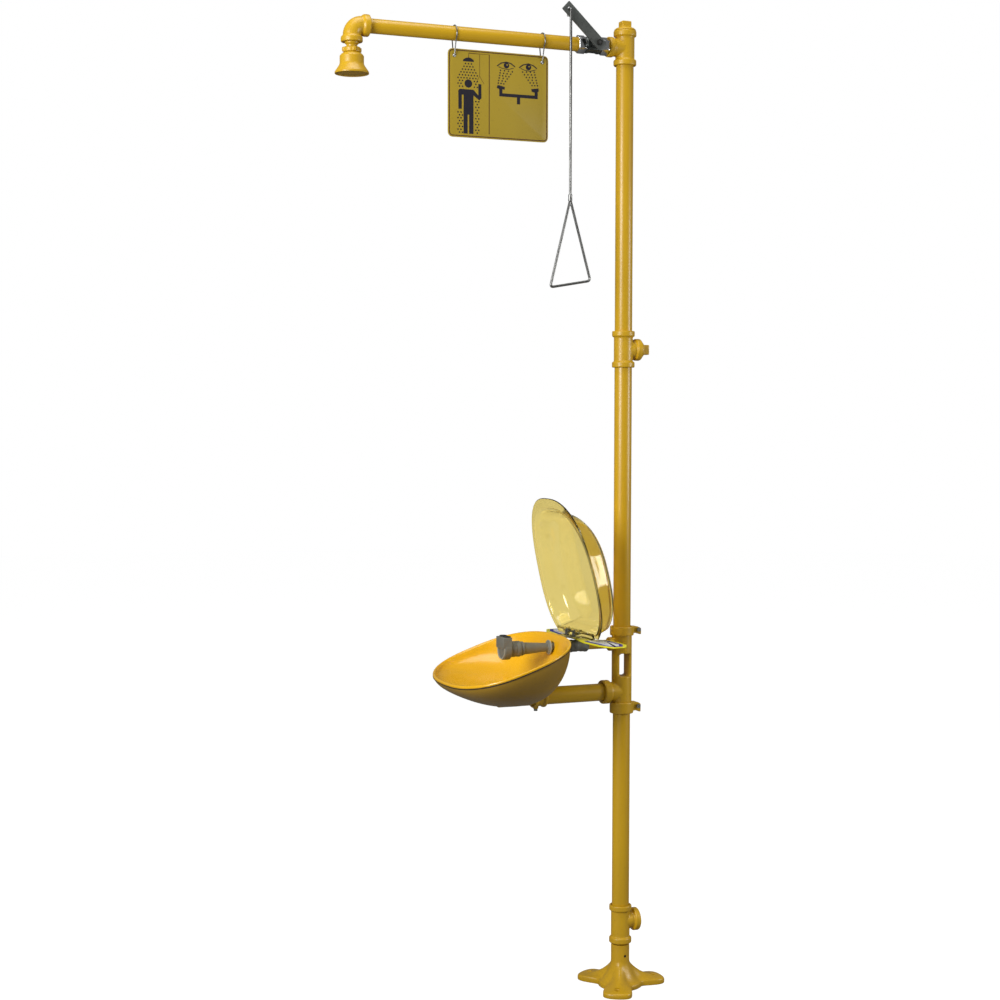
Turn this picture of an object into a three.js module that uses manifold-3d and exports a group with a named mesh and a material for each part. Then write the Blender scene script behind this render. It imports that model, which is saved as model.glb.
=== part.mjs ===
// Combination drench shower and eyewash station on one floor-mounted standpipe.
// Millimetres, +Z up. The origin is on the floor, on the axis of the standpipe. The shower arm,
// the bowl and the user are on the -X side, and the open pipe outlets face +X.
import * as THREE from "three";
import { mergeVertices } from "three/addons/utils/BufferGeometryUtils.js";
import Module from "manifold-3d";

const wasm = await Module();
wasm.setup();

// ---- driving dimensions ----
const GAP = 0.3; // clearance between pieces that touch
const SIDES = 16; // facets round a turned piece
const POLE_R = 21.1; // 1 1/4 inch pipe
const POLE_BORE = 17.5;
const ARM_R = 16.7; // 1 inch pipe
const ARM_BORE = 13.3;
const SUPPLY_R = 10.65; // 1/2 inch pipe
const SUPPLY_BORE = 7.9;
const SOCKET = 14.5; // how far a pipe screws into a fitting

const FLANGE = { tip: 115, waist: 56, hub: 22.6, top: 104, boltCircle: 90, boltR: 6.5, screwZ: 77 };
const WASTE_TEE = { low: 107.8, high: 201.5, outletZ: 161.6, reach: 45 };
const SUPPLY_TEE = { low: 1520.8, high: 1609.1, outletZ: 1564.3, reach: 43 };
const TOP_TEE = { low: 2245, high: 2328, outletZ: 2287, reach: 47 };
const TEE = { body: 23, band: 27.5, bandLength: 14, branch: 21.5 };

const BRACKET = { low: 705, high: 868, r: 24.5, windowLow: 768, windowHigh: 825, windowHalf: 12.5,
  legHalf: 15 };
const SLEEVE_R = 24.2; // split sleeve that a clamp ring closes on the pole
const CLAMP = { r: 29, lowZ: 677.3, lowHeight: 27.4, highZ: 868.3, highHeight: 22.4, ear: 48, boltX: 40 };
const WASTE_Z = 731; // axis of the drain pipe
const WATER_Z = 848; // axis of the eyewash supply
const COUPLING = { from: -240, to: -207, r: 27 };
const DRAIN = { end: -330, portX: -300, portR: 20, portTop: 755, portBore: 16 };

const ARM_Z = 2287;
const VALVE = { x: -88, half: 40, hexLength: 19, flats: 38, barrel: 19.5, ballR: 15, cavity: 16 };
const LEVER = { angle: THREE.MathUtils.degToRad(43), reach: 119, eye: 105.5, width: 26, thick: 4,
  tail: 19, y: -39 };
const ROD = { r: 3.1, y: -48, apexZ: 1917, leftX: -51, leftZ: 1706, rightX: 53, rightZ: 1724 };
const HEAD = { x: -688, bushing: 16, collar: 20, bell: 27.5, mouth: 39, faceZ: 2176 };
const ELBOW = { band: 25, body: 20.5, bend: 24, socket: 40 };
const SIGN = { width: 254, height: 203, top: 2253, x: -329, thick: 2, corner: 9, holeIn: 16, holeR: 3.2,
  wireR: 1.4 };

const RIM = { x: -320, z: 829, a: 146, b: 198, power: 2.56, slope: 0.346 };
const BASIN = { floorX: -314, floorZ: 761, wall: 3, lip: 6 };
const SKIRT = { floorX: -312, floorZ: 721, wall: 3 };
const SPRAY = { wallX: -194, taperEnd: -270, headX: -300, headEnd: -319, headR: 24.5, headTop: 880 };
const EYE_VALVE = { x: -118, barrel: 14.6, half: 15, hexEnd: 24, flats: 27, ballR: 10.6, cavity: 11.5 };
const PLATE = { z: 864, thick: 2.5, tip: 193, wingFrom: 68, wingHalf: 38, waist: 12, wingX: 16 };
const COVER = { x: -159.9, z: 1027, a: 184.6, b: 165.8, power: 2.57, lean: THREE.MathUtils.degToRad(13.6),
  taper: 0.073, bow: 7, depth: 60, wall: 2.4, bottom: -156, lipHalf: 100 };
const HINGE = { x: -135, z: 884, pinR: 2.5, knuckleR: 5.5 };

// ---- colours ----
const paint = { color: 0xd8aa24, roughness: 0.35, metalness: 0.1 };
const bowlPlastic = { color: 0xe6ae22, roughness: 0.3, metalness: 0 };
const smokyPlastic = { color: 0xc8b45f, roughness: 0.1, metalness: 0, transparent: true, opacity: 0.5 };
const signPlastic = { color: 0xb8a030, roughness: 0.45, metalness: 0 };
const greyPlastic = { color: 0x5a5a56, roughness: 0.5, metalness: 0 };
const handleYellow = { color: 0xe6dc20, roughness: 0.4, metalness: 0 };
const darkSteel = { color: 0x5a605c, roughness: 0.45, metalness: 0.8 };
const stainless = { color: 0x8c8c8c, roughness: 0.3, metalness: 1 };
const chrome = { color: 0xd0d0d0, roughness: 0.12, metalness: 1 };

// ---- solids ----

// A closed three.js geometry as a manifold-3d solid, with its faces pointing out.
function solidOf(geometry) {
  const loose = geometry.index ? geometry.toNonIndexed() : geometry;
  const bare = new THREE.BufferGeometry().setAttribute("position", loose.getAttribute("position"));
  const merged = mergeVertices(bare, 1e-3);
  const corners = merged.index.array;
  const kept = [];
  for (let i = 0; i < corners.length; i += 3) {
    const [a, b, c] = corners.subarray(i, i + 3);
    if (a !== b && b !== c && c !== a) kept.push(a, b, c);
  }
  const build = (triVerts) => new wasm.Manifold(new wasm.Mesh({
    numProp: 3, vertProperties: merged.attributes.position.array, triVerts }));
  const made = build(new Uint32Array(kept));
  return made.volume() > 0 ? made : build(new Uint32Array(kept.reverse()));
}

// A manifold-3d solid as a three.js geometry.
function geometryOf(solid) {
  const mesh = solid.getMesh();
  const geometry = new THREE.BufferGeometry();
  geometry.setAttribute("position", new THREE.BufferAttribute(mesh.vertProperties, 3));
  geometry.setIndex(new THREE.BufferAttribute(mesh.triVerts, 1));
  return geometry;
}

const joined = (first, ...rest) =>
  geometryOf(rest.reduce((sum, next) => sum.add(solidOf(next)), solidOf(first)));

const cut = (first, ...tools) =>
  geometryOf(tools.reduce((left, tool) => left.subtract(solidOf(tool)), solidOf(first)));

// A turned solid about Z from [radius, z] points. A profile off the axis closes on itself.
function turned(points, sides = SIDES) {
  const profile = points.map(([r, z]) => new THREE.Vector2(r, z));
  if (points[0][0] > 0) profile.push(profile[0].clone());
  return new THREE.LatheGeometry(profile, sides).rotateX(Math.PI / 2);
}

// A round bar along Z from z = low to z = high.
const bar = (r, low, high, sides = SIDES) => turned([[0, low], [r, low], [r, high], [0, high]], sides);

// A pipe along Z.
const pipe = (r, bore, low, high, sides = SIDES) => turned([[bore, low], [r, low], [r, high], [bore,
  high]], sides);

// A hexagonal bar along Z, measured across its flats.
const hexBar = (flats, low, high) => bar(flats / Math.sqrt(3), low, high, 6);

const block = (x0, x1, y0, y1, z0, z1) => new THREE.BoxGeometry(x1 - x0, y1 - y0, z1 - z0)
  .translate((x0 + x1) / 2, (y0 + y1) / 2, (z0 + z1) / 2);

// Turn a shape made along +Z so that it lies along another axis.
const alongX = (geometry) => geometry.rotateY(Math.PI / 2);
const alongMinusX = (geometry) => geometry.rotateY(-Math.PI / 2);
const alongY = (geometry) => geometry.rotateX(-Math.PI / 2);
const alongMinusY = (geometry) => geometry.rotateX(Math.PI / 2);

// A plate of the given outline, lying from z = 0 up.
const plate = (shape, thick, curveSegments = 8) =>
  new THREE.ExtrudeGeometry(shape, { depth: thick, bevelEnabled: false, curveSegments });

const circlePath = (x, y, r) => new THREE.Path().absarc(x, y, r, 0, 2 * Math.PI, true);

// A round wire or tube along a curve.
function wire(curve, r, steps, sides = 8) {
  const section = new THREE.Shape();
  section.absarc(0, 0, r, 0, 2 * Math.PI, false);
  return new THREE.ExtrudeGeometry(section, { steps, extrudePath: curve, curveSegments: sides / 2 });
}

// A skin over a stack of rings of equal length, closed by a fan at each end.
function skinned(rings) {
  const count = rings[0].length;
  const points = rings.flat();
  const faces = [];
  for (let k = 0; k + 1 < rings.length; k++)
    for (let i = 0; i < count; i++) {
      const next = (i + 1) % count;
      const [a, b, c, d] = [k * count + i, k * count + next, (k + 1) * count + next, (k + 1) * count + i];
      faces.push(a, b, c, a, c, d);
    }
  const fan = (k, flip) => {
    const middle = rings[k].reduce((sum, p) => sum.add(p), new THREE.Vector3()).divideScalar(count);
    points.push(middle);
    for (let i = 0; i < count; i++) {
      const [a, b] = [k * count + i, k * count + (i + 1) % count];
      faces.push(points.length - 1, flip ? a : b, flip ? b : a);
    }
  };
  fan(0, false);
  fan(rings.length - 1, true);
  return new THREE.BufferGeometry().setFromPoints(points).setIndex(faces);
}

// Unit outline of a superellipse: a circle at power 2, squarer above it.
function superPoint(turn, power) {
  const [c, s] = [Math.cos(turn), Math.sin(turn)];
  return [Math.sign(c) * Math.abs(c) ** (2 / power), Math.sign(s) * Math.abs(s) ** (2 / power)];
}

const mix = THREE.MathUtils.lerp;

// ---- the model ----
const station = new THREE.Group();

function add(name, geometry, look, x = 0, y = 0, z = 0, parent = station) {
  const mesh = new THREE.Mesh(joined(geometry), new THREE.MeshStandardMaterial(look));
  mesh.geometry.computeVertexNormals();
  mesh.name = name;
  mesh.position.set(x, y, z);
  parent.add(mesh);
  return mesh;
}

// Cast floor flange: three rounded lobes under a cone with a ridge to each lobe, and a blind socket.
function floorFlange() {
  const around = 36;
  const { tip, waist, hub, top, boltCircle, boltR, screwZ } = FLANGE;
  const ring = (z, valley, ridge, sharp) => Array.from({ length: around }, (_, i) => {
    const turn = (2 * Math.PI * i) / around;
    const r = mix(valley, ridge, ((1 + Math.cos(3 * turn)) / 2) ** sharp);
    return new THREE.Vector3(r * Math.cos(turn), r * Math.sin(turn), z);
  });
  const socketR = ARM_R + GAP;
  const body = skinned([
    ring(0, waist, tip, 1.5), ring(9, waist, tip, 1.5), ring(12, waist - 3, tip - 3, 1.6),
    ring(15, 47, 92, 2.6), ring(24, 38, 66, 3), ring(36, 30, 44, 3), ring(48, 25, 30, 3),
    ring(60, hub, hub, 1), ring(top, hub, hub, 1), ring(top, socketR, socketR, 1), ring(62, socketR,
      socketR, 1),
  ]);
  const bolts = [0, 1, 2].map((i) =>
    bar(boltR, -1, 40, 12).translate(boltCircle, 0, 0).rotateZ((2 * Math.PI * i) / 3));
  const screwHole = alongX(bar(3.2, 0, 40, 12)).rotateZ(FLANGE_SCREW_TURN).translate(0, 0, screwZ);
  return cut(body, ...bolts, screwHole);
}
const FLANGE_SCREW_TURN = THREE.MathUtils.degToRad(-82);
add("floor_flange", floorFlange(), paint);

const setScrew = cut(bar(2.9, ARM_R + 0.4, 22, 12), hexBar(2.5, 19, 23));
add("flange_set_screw", alongX(setScrew), darkSteel, 0, 0, FLANGE.screwZ).rotation.z = FLANGE_SCREW_TURN;

add("base_nipple", pipe(ARM_R, ARM_BORE, 64, WASTE_TEE.low + 13), paint);

// Pipe tee along Z with a branch to +X: a band round each mouth and a stepped bore for each pipe.
function tee({ low, high, outletZ, reach }, lowR, highR, branchR, branchBand) {
  const { body, band, bandLength, branch } = TEE;
  const run = turned([[0, low], [band, low], [band, low + bandLength], [body, low + bandLength + 2],
    [body, high - bandLength - 2], [band, high - bandLength], [band, high], [0, high]]);
  const side = alongX(turned([[0, 0], [branch, 0], [branch, reach - bandLength - 1],
    [branchBand, reach - bandLength + 1], [branchBand, reach], [0, reach]])).translate(0, 0, outletZ);
  const bore = 17;
  const mouths = [
    bar(lowR + GAP, low - 1, low + SOCKET + 1), bar(highR + GAP, high - SOCKET - 1, high + 1),
    bar(bore, low, high), alongX(bar(bore, 0, reach + 1)).translate(0, 0, outletZ),
    alongX(bar(branchR + GAP, reach - SOCKET - 1, reach + 1)).translate(0, 0, outletZ),
  ];
  return cut(joined(run, side), ...mouths);
}
add("waste_tee", tee(WASTE_TEE, ARM_R, POLE_R, POLE_R, 28), paint);
add("supply_tee", tee(SUPPLY_TEE, POLE_R, POLE_R, POLE_R, 26.5), paint);
add("top_tee", tee(TOP_TEE, POLE_R, POLE_R, ARM_R, 24), paint).rotation.z = Math.PI;

// Cored plug along +Z: a threaded stub inside a fitting whose face is at z = 0, and a square head.
const plug = (shank, head, shoulder, length) => cut(
  joined(bar(shank, -SOCKET, 0.2), turned([[0, 0.2], [shank, 0.2], [head * 0.8, shoulder], [0, shoulder]]),
    block(-head / 2, head / 2, -head / 2, head / 2, shoulder - 1, length)),
  bar(shank - 5, -SOCKET - 1, -2));
add("supply_plug", alongX(plug(POLE_R, 24, 6, 22)), paint, SUPPLY_TEE.reach, 0, SUPPLY_TEE.outletZ);
add("top_plug", plug(POLE_R, 21, 5, 23), paint, 0, 0, TOP_TEE.high);

// Standpipe in three lengths.
add("lower_pole", pipe(POLE_R, POLE_BORE, WASTE_TEE.high - SOCKET, BRACKET.low + 4), paint);
add("middle_pole", pipe(POLE_R, POLE_BORE, BRACKET.high - 6, SUPPLY_TEE.low + SOCKET), paint);
add("upper_pole", pipe(POLE_R, POLE_BORE, SUPPLY_TEE.high - SOCKET, TOP_TEE.low + SOCKET), paint);

// Casting that joins the two poles. Supply water turns out of its upper block, the drain comes into
// its lower block, and a window between two legs keeps them apart. Split sleeves take the poles.
function eyewashBracket() {
  const { low, high, r, windowLow, windowHigh, windowHalf, legHalf } = BRACKET;
  const sleeve = (z0, z1) => bar(SLEEVE_R, z0, z1);
  const body = joined(bar(r, low, high), sleeve(CLAMP.lowZ + 1.5, low + 1), sleeve(high - 1,
    high + CLAMP.highHeight - 1.5),
    alongMinusX(turned([[0, 0], [23, 0], [23, 34], [29, 36], [29, 54], [27.5, 55], [0,
      55]])).translate(0, 0, WASTE_Z),
    alongMinusX(turned([[0, 0], [15, 0], [15, 26], [17, 27], [17, 37], [0, 37]])).translate(0, 0,
      WATER_Z));
  const window = block(-windowHalf, windowHalf, -60, 60, windowLow, windowHigh);
  const flats = [-1, 1].map((side) =>
    block(-60, 60, side > 0 ? legHalf : -60, side > 0 ? 60 : -legHalf, windowLow + 3, windowHigh - 3));
  const slots = [block(20, 26, -1.5, 1.5, 600, low - 2), block(20, 26, -1.5, 1.5, high + 2, 950)];
  return cut(body, window, ...flats, ...slots,
    bar(POLE_R + GAP, 600, low + 4.5), bar(POLE_BORE, low, windowLow - 5),
    bar(POLE_R + GAP, high - 6.5, 950), bar(14, windowHigh + 6, high),
    alongMinusX(bar(16, 0, 60)).translate(0, 0, WASTE_Z), alongMinusX(bar(POLE_R + GAP, 36,
      60)).translate(0, 0, WASTE_Z),
    alongMinusX(bar(SUPPLY_BORE, 0, 60)).translate(0, 0, WATER_Z),
    alongMinusX(bar(SUPPLY_R + GAP, 18, 60)).translate(0, 0, WATER_Z));
}
add("eyewash_bracket", eyewashBracket(), paint);

// Clamp ring with two ears at +X, and its cross bolt and nut.
function clampRing(height) {
  const ring = bar(CLAMP.r, 0, height);
  const ears = new THREE.Shape();
  ears.moveTo(20, 3).lineTo(CLAMP.ear - 6, 5).quadraticCurveTo(CLAMP.ear, 6, CLAMP.ear, 11);
  ears.lineTo(CLAMP.ear, height - 4).quadraticCurveTo(CLAMP.ear - 1, height - 1, CLAMP.ear - 5,
    height - 1);
  ears.lineTo(20, height - 1);
  const lug = alongMinusY(plate(ears, 22)).translate(0, 11, 0);
  return cut(joined(ring, lug), bar(SLEEVE_R + GAP, -1, height + 1),
    block(18, 60, -1.8, 1.8, -1, height + 1),
    alongY(bar(3.4, -20, 20, 12)).translate(CLAMP.boltX, 0, height / 2 + 2));
}
for (const [side, z, height] of [["lower", CLAMP.lowZ, CLAMP.lowHeight], ["upper", CLAMP.highZ,
  CLAMP.highHeight]]) {
  add(side + "_clamp_ring", clampRing(height), paint, 0, 0, z);
  const bolt = joined(bar(3, -11.3, 17, 12), hexBar(10, -15, -11.3));
  add(side + "_clamp_bolt", alongY(bolt), stainless, CLAMP.boltX, 0, z + height / 2 + 2);
  const nut = cut(hexBar(10, 11.3, 16), bar(3 + GAP, 10, 17, 12));
  add(side + "_clamp_nut", alongY(nut), stainless, CLAMP.boltX, 0, z + height / 2 + 2);
}

// Drain line under the bowl.
const COUPLING_MID = (COUPLING.from + COUPLING.to) / 2;
add("drain_pipe", alongX(pipe(POLE_R, POLE_BORE, COUPLING_MID + GAP, -37)), paint, 0, 0, WASTE_Z);

function drainCoupling() {
  const half = (COUPLING.to - COUPLING.from) / 2;
  const band = alongX(turned([[0, -half], [COUPLING.r, -half], [COUPLING.r, -half + 7],
    [COUPLING.r - 3, -half + 9],
    [COUPLING.r - 3, half - 9], [COUPLING.r, half - 7], [COUPLING.r, half], [0, half]]));
  const boss = bar(6.5, -COUPLING.r - 3, -20, 16).translate(-6, 0, 0);
  return cut(joined(band, boss), alongX(bar(POLE_R + GAP, -half - 1, half + 1)),
    bar(3.3, -40, -15, 12).translate(-6, 0, 0));
}
add("drain_coupling", drainCoupling(), paint, COUPLING_MID, 0, WASTE_Z);
add("coupling_screw", joined(bar(3, -COUPLING.r - 5, -POLE_R - 0.5, 12), hexBar(8, -COUPLING.r - 8,
  -COUPLING.r - 3.3)),
  stainless, COUPLING_MID - 6, 0, WASTE_Z);

function drainBody() {
  const { end, portX, portR, portTop, portBore } = DRAIN;
  const barrel = alongX(bar(POLE_R, end, COUPLING_MID - GAP));
  const port = bar(portR, 0, portTop - WASTE_Z).translate(portX, 0, 0);
  return cut(joined(barrel, port), alongX(bar(POLE_BORE, end + 6, COUPLING_MID + 1)),
    bar(portBore, 0, 60).translate(portX, 0, 0));
}
add("drain_body", drainBody(), paint, 0, 0, WASTE_Z);

// One closed outline of the bowl at a given size, height and tilt.
function bowlRing(a, b, xc, zc, slope, around = 32) {
  return Array.from({ length: around }, (_, i) => {
    const [c, s] = superPoint((2 * Math.PI * (i + 0.5)) / around, RIM.power);
    return new THREE.Vector3(xc + a * c, b * s, zc + slope * a * c);
  });
}

const WALL_TURNS = [0, 16, 34, 54, 74];

// Rings of a bowl wall from its rim, `inset` in from the true rim and `drop` below it, to its floor.
function bowlWall(inset, drop, floorX, floorZ, fullness) {
  const lastTurn = THREE.MathUtils.degToRad(WALL_TURNS.at(-1));
  return WALL_TURNS.map((degrees) => {
    const turn = THREE.MathUtils.degToRad(degrees);
    const size = Math.cos(turn) ** fullness;
    const down = (Math.sin(turn) / Math.sin(lastTurn)) ** 1.15;
    return bowlRing((RIM.a - inset) * size, (RIM.b - inset) * size, mix(RIM.x, floorX, down),
      mix(RIM.z - drop, floorZ, down), RIM.slope * (1 - down));
  });
}

// Basin: the wetted inner shell, with a rolled lip at the rim, a drain hole and the supply hole.
function bowlBasin() {
  const { floorX, floorZ, wall, lip } = BASIN;
  const inner = bowlWall(7.5 + wall, 1, floorX, floorZ, 0.9);
  const outer = bowlWall(7.5, lip, floorX, floorZ - wall, 0.9);
  const edge = (inset, drop) => bowlRing(RIM.a - inset, RIM.b - inset, RIM.x, RIM.z - drop, RIM.slope);
  const shell = skinned([...outer.reverse(), edge(0.5, lip - 1), edge(0, 3), edge(1.5, 0.4), edge(6,
    0), ...inner]);
  return cut(shell, bar(16.5, 700, 800, 16).translate(DRAIN.portX, 0, 0),
    alongX(bar(12.3, -260, -120, 16)).translate(0, 0, WATER_Z));
}
add("bowl_basin", bowlBasin(), bowlPlastic);

// Skirt: the outer shell that hangs from the lip. It is cut away over the drain line.
function bowlSkirt() {
  const { floorX, floorZ, wall } = SKIRT;
  const outer = bowlWall(2, BASIN.lip + 1, floorX, floorZ, 0.86);
  const inner = bowlWall(2 + wall, BASIN.lip + 1, floorX, floorZ + wall, 0.86);
  const shell = skinned([...outer.reverse(), ...inner]);
  const trench = joined(alongX(bar(POLE_R + 1, DRAIN.end - 1, -150, 16)).translate(0, 0, WASTE_Z),
    alongX(bar(COUPLING.r + 1.5, COUPLING.from - 2, -150, 16)).translate(0, 0, WASTE_Z),
    block(DRAIN.end - 1, -150, -POLE_R - 1, POLE_R + 1, 690, WASTE_Z),
    block(COUPLING.from - 2, -150, -COUPLING.r - 1.5, COUPLING.r + 1.5, 690, WASTE_Z));
  return cut(shell, trench, alongX(bar(12.3, -260, -120, 16)).translate(0, 0, WATER_Z));
}
add("bowl_skirt", bowlSkirt(), bowlPlastic);

// Strainer: a dished disc on a threaded tail that holds the basin to the drain port.
function drainStrainer() {
  const disc = turned([[0, 1.2], [26, 0.4], [27, 1.4], [25, 3.2], [0, 2.6]]);
  const slots = [0, 1, 2, 3].map((i) => block(-20, 20, -1.4, 1.4, -1, 10).rotateZ((Math.PI * i) / 4));
  return joined(cut(disc, bar(13, -1, 1.9)), cut(bar(15.6, -24, 1.5), bar(12.5, -30, 3)),
    cut(bar(13, 1.6, 2.6), ...slots));
}
add("drain_strainer", drainStrainer(), stainless, DRAIN.portX, 0, BASIN.floorZ + GAP);
add("drain_gasket", pipe(21, 16.2, 0, 2.2, 16), darkSteel, DRAIN.portX, 0, DRAIN.portTop + GAP);

// Eyewash supply and spray. Everything lies on one axis at the height of the supply.
add("supply_arm", alongX(pipe(SUPPLY_R, SUPPLY_BORE, -99, -19, 16)), paint, 0, 0, WATER_Z);

function quarterTurnValve({ barrel, half, hexEnd, flats, cavity }, pipeR, bossR, bossReach) {
  const hexStart = half;
  const body = joined(alongX(bar(barrel, -half - 1, half + 1)), alongX(hexBar(flats, hexStart, hexEnd)),
    alongX(hexBar(flats, -hexEnd, -hexStart)), bar(bossR, 0, bossReach, 16));
  const ball = new THREE.SphereGeometry(cavity, 16, 8);
  return cut(body, ball, alongX(bar(cavity * 0.75, -hexEnd, hexEnd, 16)),
    alongX(bar(pipeR + GAP, hexEnd - 8, hexEnd + 1)), alongX(bar(pipeR + GAP, -hexEnd - 1, -hexEnd + 8)),
    bar(bossR * 0.55 + GAP, 0, bossReach + 1, 16));
}
add("eyewash_valve_body", quarterTurnValve(EYE_VALVE, SUPPLY_R, 8, 15.4), greyPlastic, EYE_VALVE.x, 0,
  WATER_Z);

// Ball of a quarter-turn valve, shown closed: its bore lies across the pipe.
const valveBall = (r) => cut(new THREE.SphereGeometry(r, 16, 8), alongY(bar(r * 0.62, -r, r, 16)));
add("eyewash_valve_ball", valveBall(EYE_VALVE.ballR), stainless, EYE_VALVE.x, 0, WATER_Z);
add("eyewash_valve_stem", joined(bar(4.3, EYE_VALVE.ballR + GAP, PLATE.z - WATER_Z - GAP, 16),
  bar(2.4, 12, PLATE.z - WATER_Z + PLATE.thick + 1.5, 12)),
  stainless, EYE_VALVE.x, 0, WATER_Z);

// Push handle: one flat plate with a wing on each side of the valve.
function pushHandle() {
  const { tip, wingFrom, wingHalf, waist, wingX, thick } = PLATE;
  const shape = new THREE.Shape();
  const wing = (side) => [[waist, side * 26], [wingX + wingHalf, side * wingFrom], [wingX + wingHalf,
    side * (tip - 38)],
    [wingX + 18, side * tip], [wingX - 14, side * tip], [wingX - wingHalf + 6, side * (tip - 40)],
    [wingX - wingHalf, side * wingFrom], [-waist, side * 26]];
  const outline = [...wing(1), ...wing(-1).reverse()];
  outline.forEach(([x, y], i) => (i ? shape.lineTo(x, y) : shape.moveTo(x, y)));
  shape.holes.push(circlePath(0, 0, 2.8));
  return plate(shape, thick);
}
add("push_handle", pushHandle(), handleYellow, EYE_VALVE.x, 0, PLATE.z);
add("handle_nut", cut(hexBar(10, 0, 2.6), bar(2.7, -1, 2, 12)), stainless,
  EYE_VALVE.x, 0, PLATE.z + PLATE.thick + GAP);

// Spray tube: a spigot from the valve, a flange inside the bowl wall and a tube that widens to the head.
function sprayTube() {
  const toX = (x) => -x;
  const profile = [[0, toX(-135)], [SUPPLY_R, toX(-135)], [SUPPLY_R, toX(SPRAY.wallX)], [14,
    toX(SPRAY.wallX - 0.5)],
    [14, toX(SPRAY.wallX - 5)], [10, toX(SPRAY.wallX - 6)], [11, toX(-215)], [15.5, toX(SPRAY.taperEnd)],
    [19, toX(SPRAY.taperEnd - 1)], [19, toX(SPRAY.headX + GAP)], [0, toX(SPRAY.headX + GAP)]];
  return cut(alongMinusX(turned(profile, 16)), alongMinusX(bar(7, 130, 320, 16)));
}
add("spray_tube", sprayTube(), greyPlastic, 0, 0, WATER_Z);
add("bulkhead_nut", alongMinusX(cut(hexBar(29, 146, 155), bar(SUPPLY_R + GAP, 140, 160, 16))), greyPlastic,
  0, 0, WATER_Z);

// Spray head: a drum across the end of the tube with a flat top that carries the two outlets.
function sprayHead() {
  const { headX, headEnd, headR, headTop } = SPRAY;
  const drum = alongMinusX(turned([[0, -headX], [headR - 1, -headX], [headR, -headX + 1], [headR,
    -headEnd - 1.5],
    [headR - 1.5, -headEnd], [headR - 4, -headEnd], [headR - 5, -headEnd - 1.5], [0, -headEnd - 1.5]],
      16));
  const top = block(headEnd - 4, headX, -23, 23, 4, headTop - WATER_Z - 1.5);
  const inlet = alongMinusX(bar(7, -headX - 5, -headX + 8, 16));
  const outlets = [-12, 12].map((y) => bar(6.5, 0, 60, 16).translate((headX + headEnd) / 2, y, 0));
  const passage = alongY(bar(5, -13, 13, 16)).translate((headX + headEnd) / 2, 0, 4);
  return cut(joined(drum, top), inlet, ...outlets, passage);
}
add("spray_head", sprayHead(), greyPlastic, 0, 0, WATER_Z);
for (const [side, y] of [["near", -12], ["far", 12]]) {
  const cap = cut(joined(bar(6.2, -8, 0.8, 12), bar(9, 0, 2.4, 12)), bar(4, -9, 3, 12));
  add(side + "_nozzle", cap, greyPlastic, (SPRAY.headX + SPRAY.headEnd) / 2, y, SPRAY.headTop - 1.5 + GAP);
}

// Hinge bracket of the dust cover: a plate under the bulkhead nut that turns out to two knuckles.
function hingeBracket() {
  const { x, z, pinR, knuckleR } = HINGE;
  const upright = block(-170.5, -167.5, -26, 26, 831, z - 9);
  const shelf = block(-170.5, x + 2, -26, 26, z - 12, z - 9);
  const knuckles = [-1, 1].map((side) => joined(
    alongY(bar(knuckleR, side > 0 ? 14 : -26, side > 0 ? 26 : -14, 16)).translate(x, 0, z),
    block(x - knuckleR, x + 2, side > 0 ? 14 : -26, side > 0 ? 26 : -14, z - 12, z - 1)));
  const body = joined(upright, shelf, ...knuckles);
  return cut(body, alongY(bar(pinR + 0.1, -60, 60, 16)).translate(x, 0, z),
    alongX(bar(12, -180, -160, 16)).translate(0, 0, WATER_Z));
}
add("hinge_bracket", hingeBracket(), stainless);
add("hinge_pin", alongY(joined(bar(HINGE.pinR - 0.25, -41, 41, 16), bar(4, -43, -40.8, 16))), stainless,
  HINGE.x, 0, HINGE.z);

// One closed outline of the dust cover, in its own frame: x is depth, z is along its length.
function coverRing(inset, topInset, depth, around = 36) {
  const { a, b, power, taper, bow, bottom } = COVER;
  return Array.from({ length: around }, (_, i) => {
    const [s, c] = superPoint((2 * Math.PI * (i + 0.5)) / around, power);
    const along = Math.max(c > 0 ? (a - topInset) * c : (a - inset) * c, bottom + inset * 0.6);
    const across = (b - inset) * s * (1 - (taper * along) / a);
    return new THREE.Vector3(depth + bow * s * s, across, along);
  });
}

// Dust cover: a clear moulded shell with a flange round its mouth and a straight hinge lip.
function dustCover() {
  const { wall, depth, bottom, lipHalf, lean } = COVER;
  const outer = [[0, 0, 0], [0, 0, wall], [11, 27, wall + 1], [14, 34, 14], [20, 48, 42], [36, 66, 56],
    [66, 90, depth]];
  const inner = outer.slice(2).map(([inset, top, back]) => [inset + wall, top + wall,
    back - (back < 20 ? 0 : wall)]);
  inner[0] = [11 + wall, 27 + wall, 0];
  const rings = [...inner.reverse(), ...outer].map(([inset, top, back]) => coverRing(inset, top, back));
  const lip = block(-3, 3, -lipHalf, lipHalf, bottom - 3, bottom + 13);
  const hingeAt = new THREE.Vector3(HINGE.x - COVER.x, 0,
    HINGE.z - COVER.z).applyAxisAngle(new THREE.Vector3(0, 1, 0), lean);
  const ears = [-1, 1].map((side) => {
    const [y0, y1] = side > 0 ? [27, 38] : [-38, -27];
    return joined(alongY(bar(HINGE.knuckleR, y0, y1, 16)).translate(hingeAt.x, 0, hingeAt.z),
      block(hingeAt.x, 1, y0, y1, hingeAt.z - 5, hingeAt.z + 5));
  });
  return cut(joined(skinned(rings), lip, ...ears),
    alongY(bar(HINGE.pinR, -60, 60, 16)).translate(hingeAt.x, 0, hingeAt.z));
}
add("dust_cover", dustCover(), smokyPlastic, COVER.x, 0, COVER.z).rotation.y = -COVER.lean;

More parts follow.
